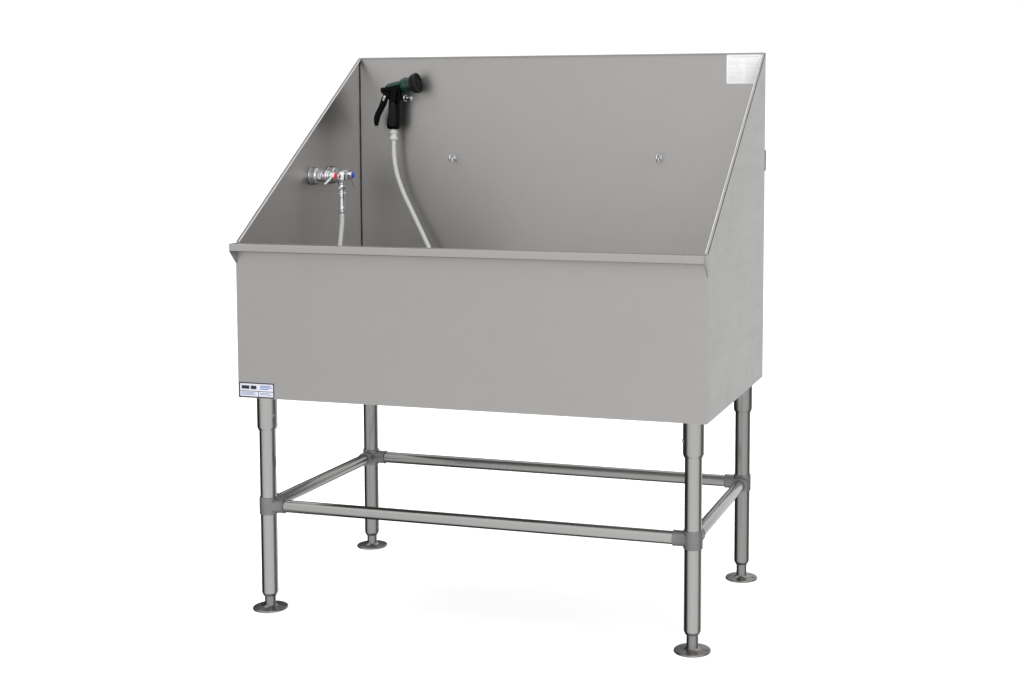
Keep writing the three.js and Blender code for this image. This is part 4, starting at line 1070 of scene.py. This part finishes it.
gun_lathe("sprayer_gland_nut", [(0, 0), (10.4, 0), (11, 0.8), (11, 5.2), (0, 5.2)], 103.5, "plastic", "sprayer", seg=48, fillet=0.4, slot="black_plastic", ripple=lambda a, h: 1 + 0.03 * math.cos(12 * a))

# spray head: outer grip ring with fine ribs, sunk face and nozzles
gun_lathe(
    "spray_head_ring",
    [(0, 0.3), (22.3, 0.3), (23.6, 0.9), (25.6, 3.4), (27.2, 8), (28.6, 12.5), (29.5, 16.5), (30, 19), (29, 20.6), (26.4, 20.6), (25.5, 19.6), (25.0, 16.6), (0, 16.6)],
    21, "ring", "spray_head", seg=192, fillet=0.4, replaces="sprayer_head", slot="black_rubber", angle=60,
    ripple=lambda a, h: 1 + (0.018 * math.cos(32 * a) if 2.8 < h < 16.0 else 0),
)
gun_lathe("spray_head_face", [(0, 16.4), (24.9, 16.4), (24.9, 17.2), (23.6, 18.3), (13, 18.3), (12.4, 17.7), (11.8, 17.7), (11.2, 18.6), (0, 19.0)], 21, "plastic", "spray_head", seg=90, fillet=0.4, slot="black_plastic")
for ring_r, count, rad in ((20.6, 18, 0.85), (16.4, 12, 1.15), (7.4, 6, 1.0), (0, 1, 2.0)):
    for i in range(count):
        a = 2 * math.pi * i / count
        q = FACE - UV * 21 + Vector((-UZ, 0, UX)) * (ring_r * math.sin(a)) + Vector((0, 1, 0)) * (ring_r * math.cos(a))
        lathe(
            f"spray_nozzle_{int(ring_r)}_{i}", [(0, 17.6), (rad, 17.6), (rad, 19.5), (rad * 0.6, 19.9), (rad * 0.5, 19.0), (0, 19.0)],
            G(*q), UV, "plastic", "spray_head", seg=14, slot="black_rubber",
        )

gun_lathe("flow_knob_cap", [(0, 0), (6.6, 0), (7.5, 0.6), (9, 1.5), (9, 8.5), (7.5, 10), (0, 10)], 119.4, "plastic", "flow_knob", seg=96, fillet=0.6, replaces="sprayer_flow_knob", slot="black_plastic",
          ripple=lambda a, h: 1 + (0.035 * math.cos(16 * a) if 1.4 < h < 8.6 else 0), angle=50)

# trigger with a rounded back
trig = [(-496, 1343), (-508, 1342), (-513, 1337), (-516, 1326), (-523, 1310), (-533, 1293), (-538, 1279), (-538.6, 1266), (-536, 1256), (-533, 1253.5), (-529.5, 1256), (-526, 1268), (-522, 1282), (-512, 1300), (-503, 1316), (-499, 1326), (-495.6, 1334)]
v, f = prism_data(rounded(trig, 5, 4, closed=True), lambda u, w, d: G(u, d, w), -8, 8, 3.0, 5)
obj_from("trigger_lever", v, f, "plastic", "trigger", angle=50, replaces="sprayer_trigger", slot="black_plastic")

# cheeks, pin and the wire hook the sprayer hangs by
cheek = [(-506, 1352), (-488, 1352), (-490, 1333), (-497, 1331), (-505, 1332)]
for k in (-1, 1):
    a, b = sorted((k * 8.6, k * 11))
    v, f = prism_data(rounded(cheek, 3, 3, closed=True), lambda u, w, d: G(u, d, w), a, b, 0.5, 2)
    obj_from("sprayer_cheek_" + ("front" if k < 0 else "back"), v, f, "plastic", "sprayer", angle=50, slot="black_plastic")
lathe("sprayer_pivot_pin", [(0, -12.2), (3.1, -12.2), (3.1, -11.2), (1.8, -11), (1.8, 11), (3.1, 11.2), (3.1, 12.2), (0, 12.2)], G(-501, 0, 1338), (0, 1, 0), "chrome", "sprayer", seg=28, fillet=0.3, slot="chrome")
hook = catmull([G(-452.5, 2, 1352), G(-452.8, 2, 1342), G(-453.2, 2, 1334.6), G(-451, 2, 1331.9), G(-446, 2, 1331.6), G(-438, 2, 1331.8), G(-431.5, 2, 1332.3), G(-429, 2, 1334.0)], 8)
v, f = sweep_data(hook, circle(0.0023, 14))
obj_from("sprayer_hook", v, f, "plastic", "sprayer", slot="black_plastic")

# wire hold-open clip
lathe("hold_clip_pin", [(0, -14.8), (2.6, -14.8), (3.2, -14.3), (3.2, -11.3), (0, -11.3)], G(-499, 0, 1339), (0, 1, 0), "chrome", "hold_clip", seg=28, fillet=0.3, replaces="sprayer_hold_clip", slot="chrome")
clip = catmull([G(-501, -13.1, 1340), G(-503.0, -13.1, 1336), G(-504.8, -13.1, 1331.6), G(-504.9, -13.1, 1328.6), G(-503.2, -13.1, 1327.6), G(-501.4, -13.1, 1330.4), G(-499.0, -13.1, 1335)], 6)
v, f = sweep_data(clip, circle(0.0010, 10))
obj_from("hold_clip_wire", v, f, "chrome", "hold_clip", slot="chrome")

# coupling between grip and hose
lathe(
    "sprayer_swivel", [(0, 1214), (9.5, 1214), (10.6, 1214.6), (11.6, 1216), (11.6, 1221), (8.6, 1224), (8.6, 1231), (11.6, 1234), (11.6, 1239), (8, 1240), (8, 1244.3), (0, 1244.3)],
    G(-478, 0, 0), (0, 0, 1), "grey_plastic", "sprayer", seg=120, fillet=0.6, replaces="sprayer_coupling", slot="grey_plastic", angle=50,
    ripple=lambda a, h: 1 + (0.025 * math.cos(20 * a) if (1215.8 < h < 1221.3 or 1233.8 < h < 1239.2) else 0),
)

# the tap levers get the lighter chrome copy: painted highlight
for o in bpy.data.objects:
    if o.type == "MESH" and o.name.startswith(("cold_lever", "hot_lever")):
        for slot_ in o.material_slots:
            if slot_.material == M["chrome"]:
                slot_.material = M["lever_chrome_painted_highlight"]

# ------------------------------------------------------------------ stage and light
def stage_piece(name, verts, faces, emission, albedo=0.9, glossy=False, diffuse=True):
    k = Mat(name + "_white")
    k.set(color=(albedo, albedo, albedo), rough=0.9, spec=0.0)
    k.b.inputs["Emission Color"].default_value = (1, 1, 1, 1)
    k.b.inputs["Emission Strength"].default_value = emission
    me = bpy.data.meshes.new(name)
    me.from_pydata([tuple(v) for v in verts], [], faces)
    o = bpy.data.objects.new(name, me)
    scene.collection.objects.link(o)
    me.materials.append(k.m)
    o.visible_glossy = glossy
    o.visible_diffuse = diffuse
    return o


R_STAGE = 16.0
ring = [(R_STAGE * math.cos(2 * math.pi * i / 96), R_STAGE * math.sin(2 * math.pi * i / 96), 0) for i in range(96)]
floor = stage_piece("floor", ring, [tuple(range(96))], 0.46)
dv, df = [], []
for j in range(13):
    e = math.pi / 2 * j / 12
    for i in range(96):
        a = 2 * math.pi * i / 96
        dv.append((R_STAGE * math.cos(e) * math.cos(a), R_STAGE * math.cos(e) * math.sin(a), R_STAGE * math.sin(e)))
for j in range(12):
    for i in range(96):
        k_ = (i + 1) % 96
        df.append((j * 96 + i, j * 96 + k_, (j + 1) * 96 + k_, (j + 1) * 96 + i))
dome = stage_piece("backdrop", dv, df, 1.15, albedo=0.0, diffuse=False)
dome.visible_shadow = False
dome.visible_transmission = False

# The studio as the metal sees it: open and bright in front, darker flags to the sides behind.
world = bpy.data.worlds.new("studio")
scene.world = world
world.use_nodes = True
wt = world.node_tree
bg = wt.nodes["Background"]


def wnode(kind, **props):
    n = wt.nodes.new(kind)
    for k, v in props.items():
        setattr(n, k, v)
    return n


tc = wnode("ShaderNodeTexCoord")
sep = wnode("ShaderNodeSeparateXYZ")
wt.links.new(tc.outputs["Generated"], sep.inputs[0])
neg = wnode("ShaderNodeMath", operation="MULTIPLY")
wt.links.new(sep.outputs["Y"], neg.inputs[0])
neg.inputs[1].default_value = -1
ang = wnode("ShaderNodeMath", operation="ARCTAN2")
wt.links.new(sep.outputs["X"], ang.inputs[0])
wt.links.new(neg.outputs[0], ang.inputs[1])
frac = wnode("ShaderNodeMapRange")
frac.inputs["From Min"].default_value = -math.pi
frac.inputs["From Max"].default_value = math.pi
wt.links.new(ang.outputs[0], frac.inputs["Value"])
ramp = wnode("ShaderNodeValToRGB")
wt.links.new(frac.outputs[0], ramp.inputs["Fac"])
STOPS = [
    (-180, 0.92), (-172, 0.75), (-160, 0.10), (-140, 0.04), (-74, 0.04), (-57, 0.5), (-45, 0.88), (-25, 0.97), (0, 1.06),
    (20, 1.08), (78, 0.98), (91, 0.74), (100, 0.32), (110, 0.18), (138, 0.22), (152, 0.86), (165, 0.94), (180, 0.92),
]
el = ramp.color_ramp.elements
while len(el) > 1:
    el.remove(el[-1])
for i, (deg, val) in enumerate(STOPS):
    e = el[0] if i == 0 else el.new((deg + 180) / 360)
    e.position = (deg + 180) / 360
    e.color = (val / 1.2, val / 1.2, val / 1.2, 1)
# overhead stays bright
high = wnode("ShaderNodeMapRange", interpolation_type="SMOOTHSTEP")
high.inputs["From Min"].default_value = 0.35
high.inputs["From Max"].default_value = 0.75
wt.links.new(sep.outputs["Z"], high.inputs["Value"])
top = wnode("ShaderNodeMix", data_type="RGBA")
wt.links.new(high.outputs[0], top.inputs[0])
wt.links.new(ramp.outputs[0], top.inputs[6])
top.inputs[7].default_value = (0.9, 0.9, 0.9, 1)
wt.links.new(top.outputs[2], bg.inputs["Color"])
bg.inputs["Strength"].default_value = 1.2


def area(name, at, look, size, power, size_y=None, color=(1, 1, 1), glossy=True):
    d = bpy.data.lights.new(name, "AREA")
    d.shape = "RECTANGLE"
    d.size = size
    d.size_y = size_y or size
    d.energy = power
    d.color = color
    o = bpy.data.objects.new(name, d)
    scene.collection.objects.link(o)
    o.location = at
    o.rotation_euler = (Vector(look) - Vector(at)).to_track_quat("-Z", "Y").to_euler()
    o.visible_camera = False
    o.visible_glossy = glossy
    return o


area("key", (-1.8, 1.6, 3.4), (0, 0, 0.6), 1.6, 46, glossy=False)
area("front_fill", (2.2, -3.6, 2.4), (0, 0, 0.8), 2.0, 30)
# light that the basin's own front wall and floor throw back on to the walls
area("basin_glow_front", (0.06, -0.325, 0.80), (0.06, 0.3, 0.80), 0.98, 0.68, size_y=0.28)

scene.view_settings.view_transform = "Standard"
scene.view_settings.look = "None"
scene.view_settings.exposure = 0
scene.view_settings.gamma = 1
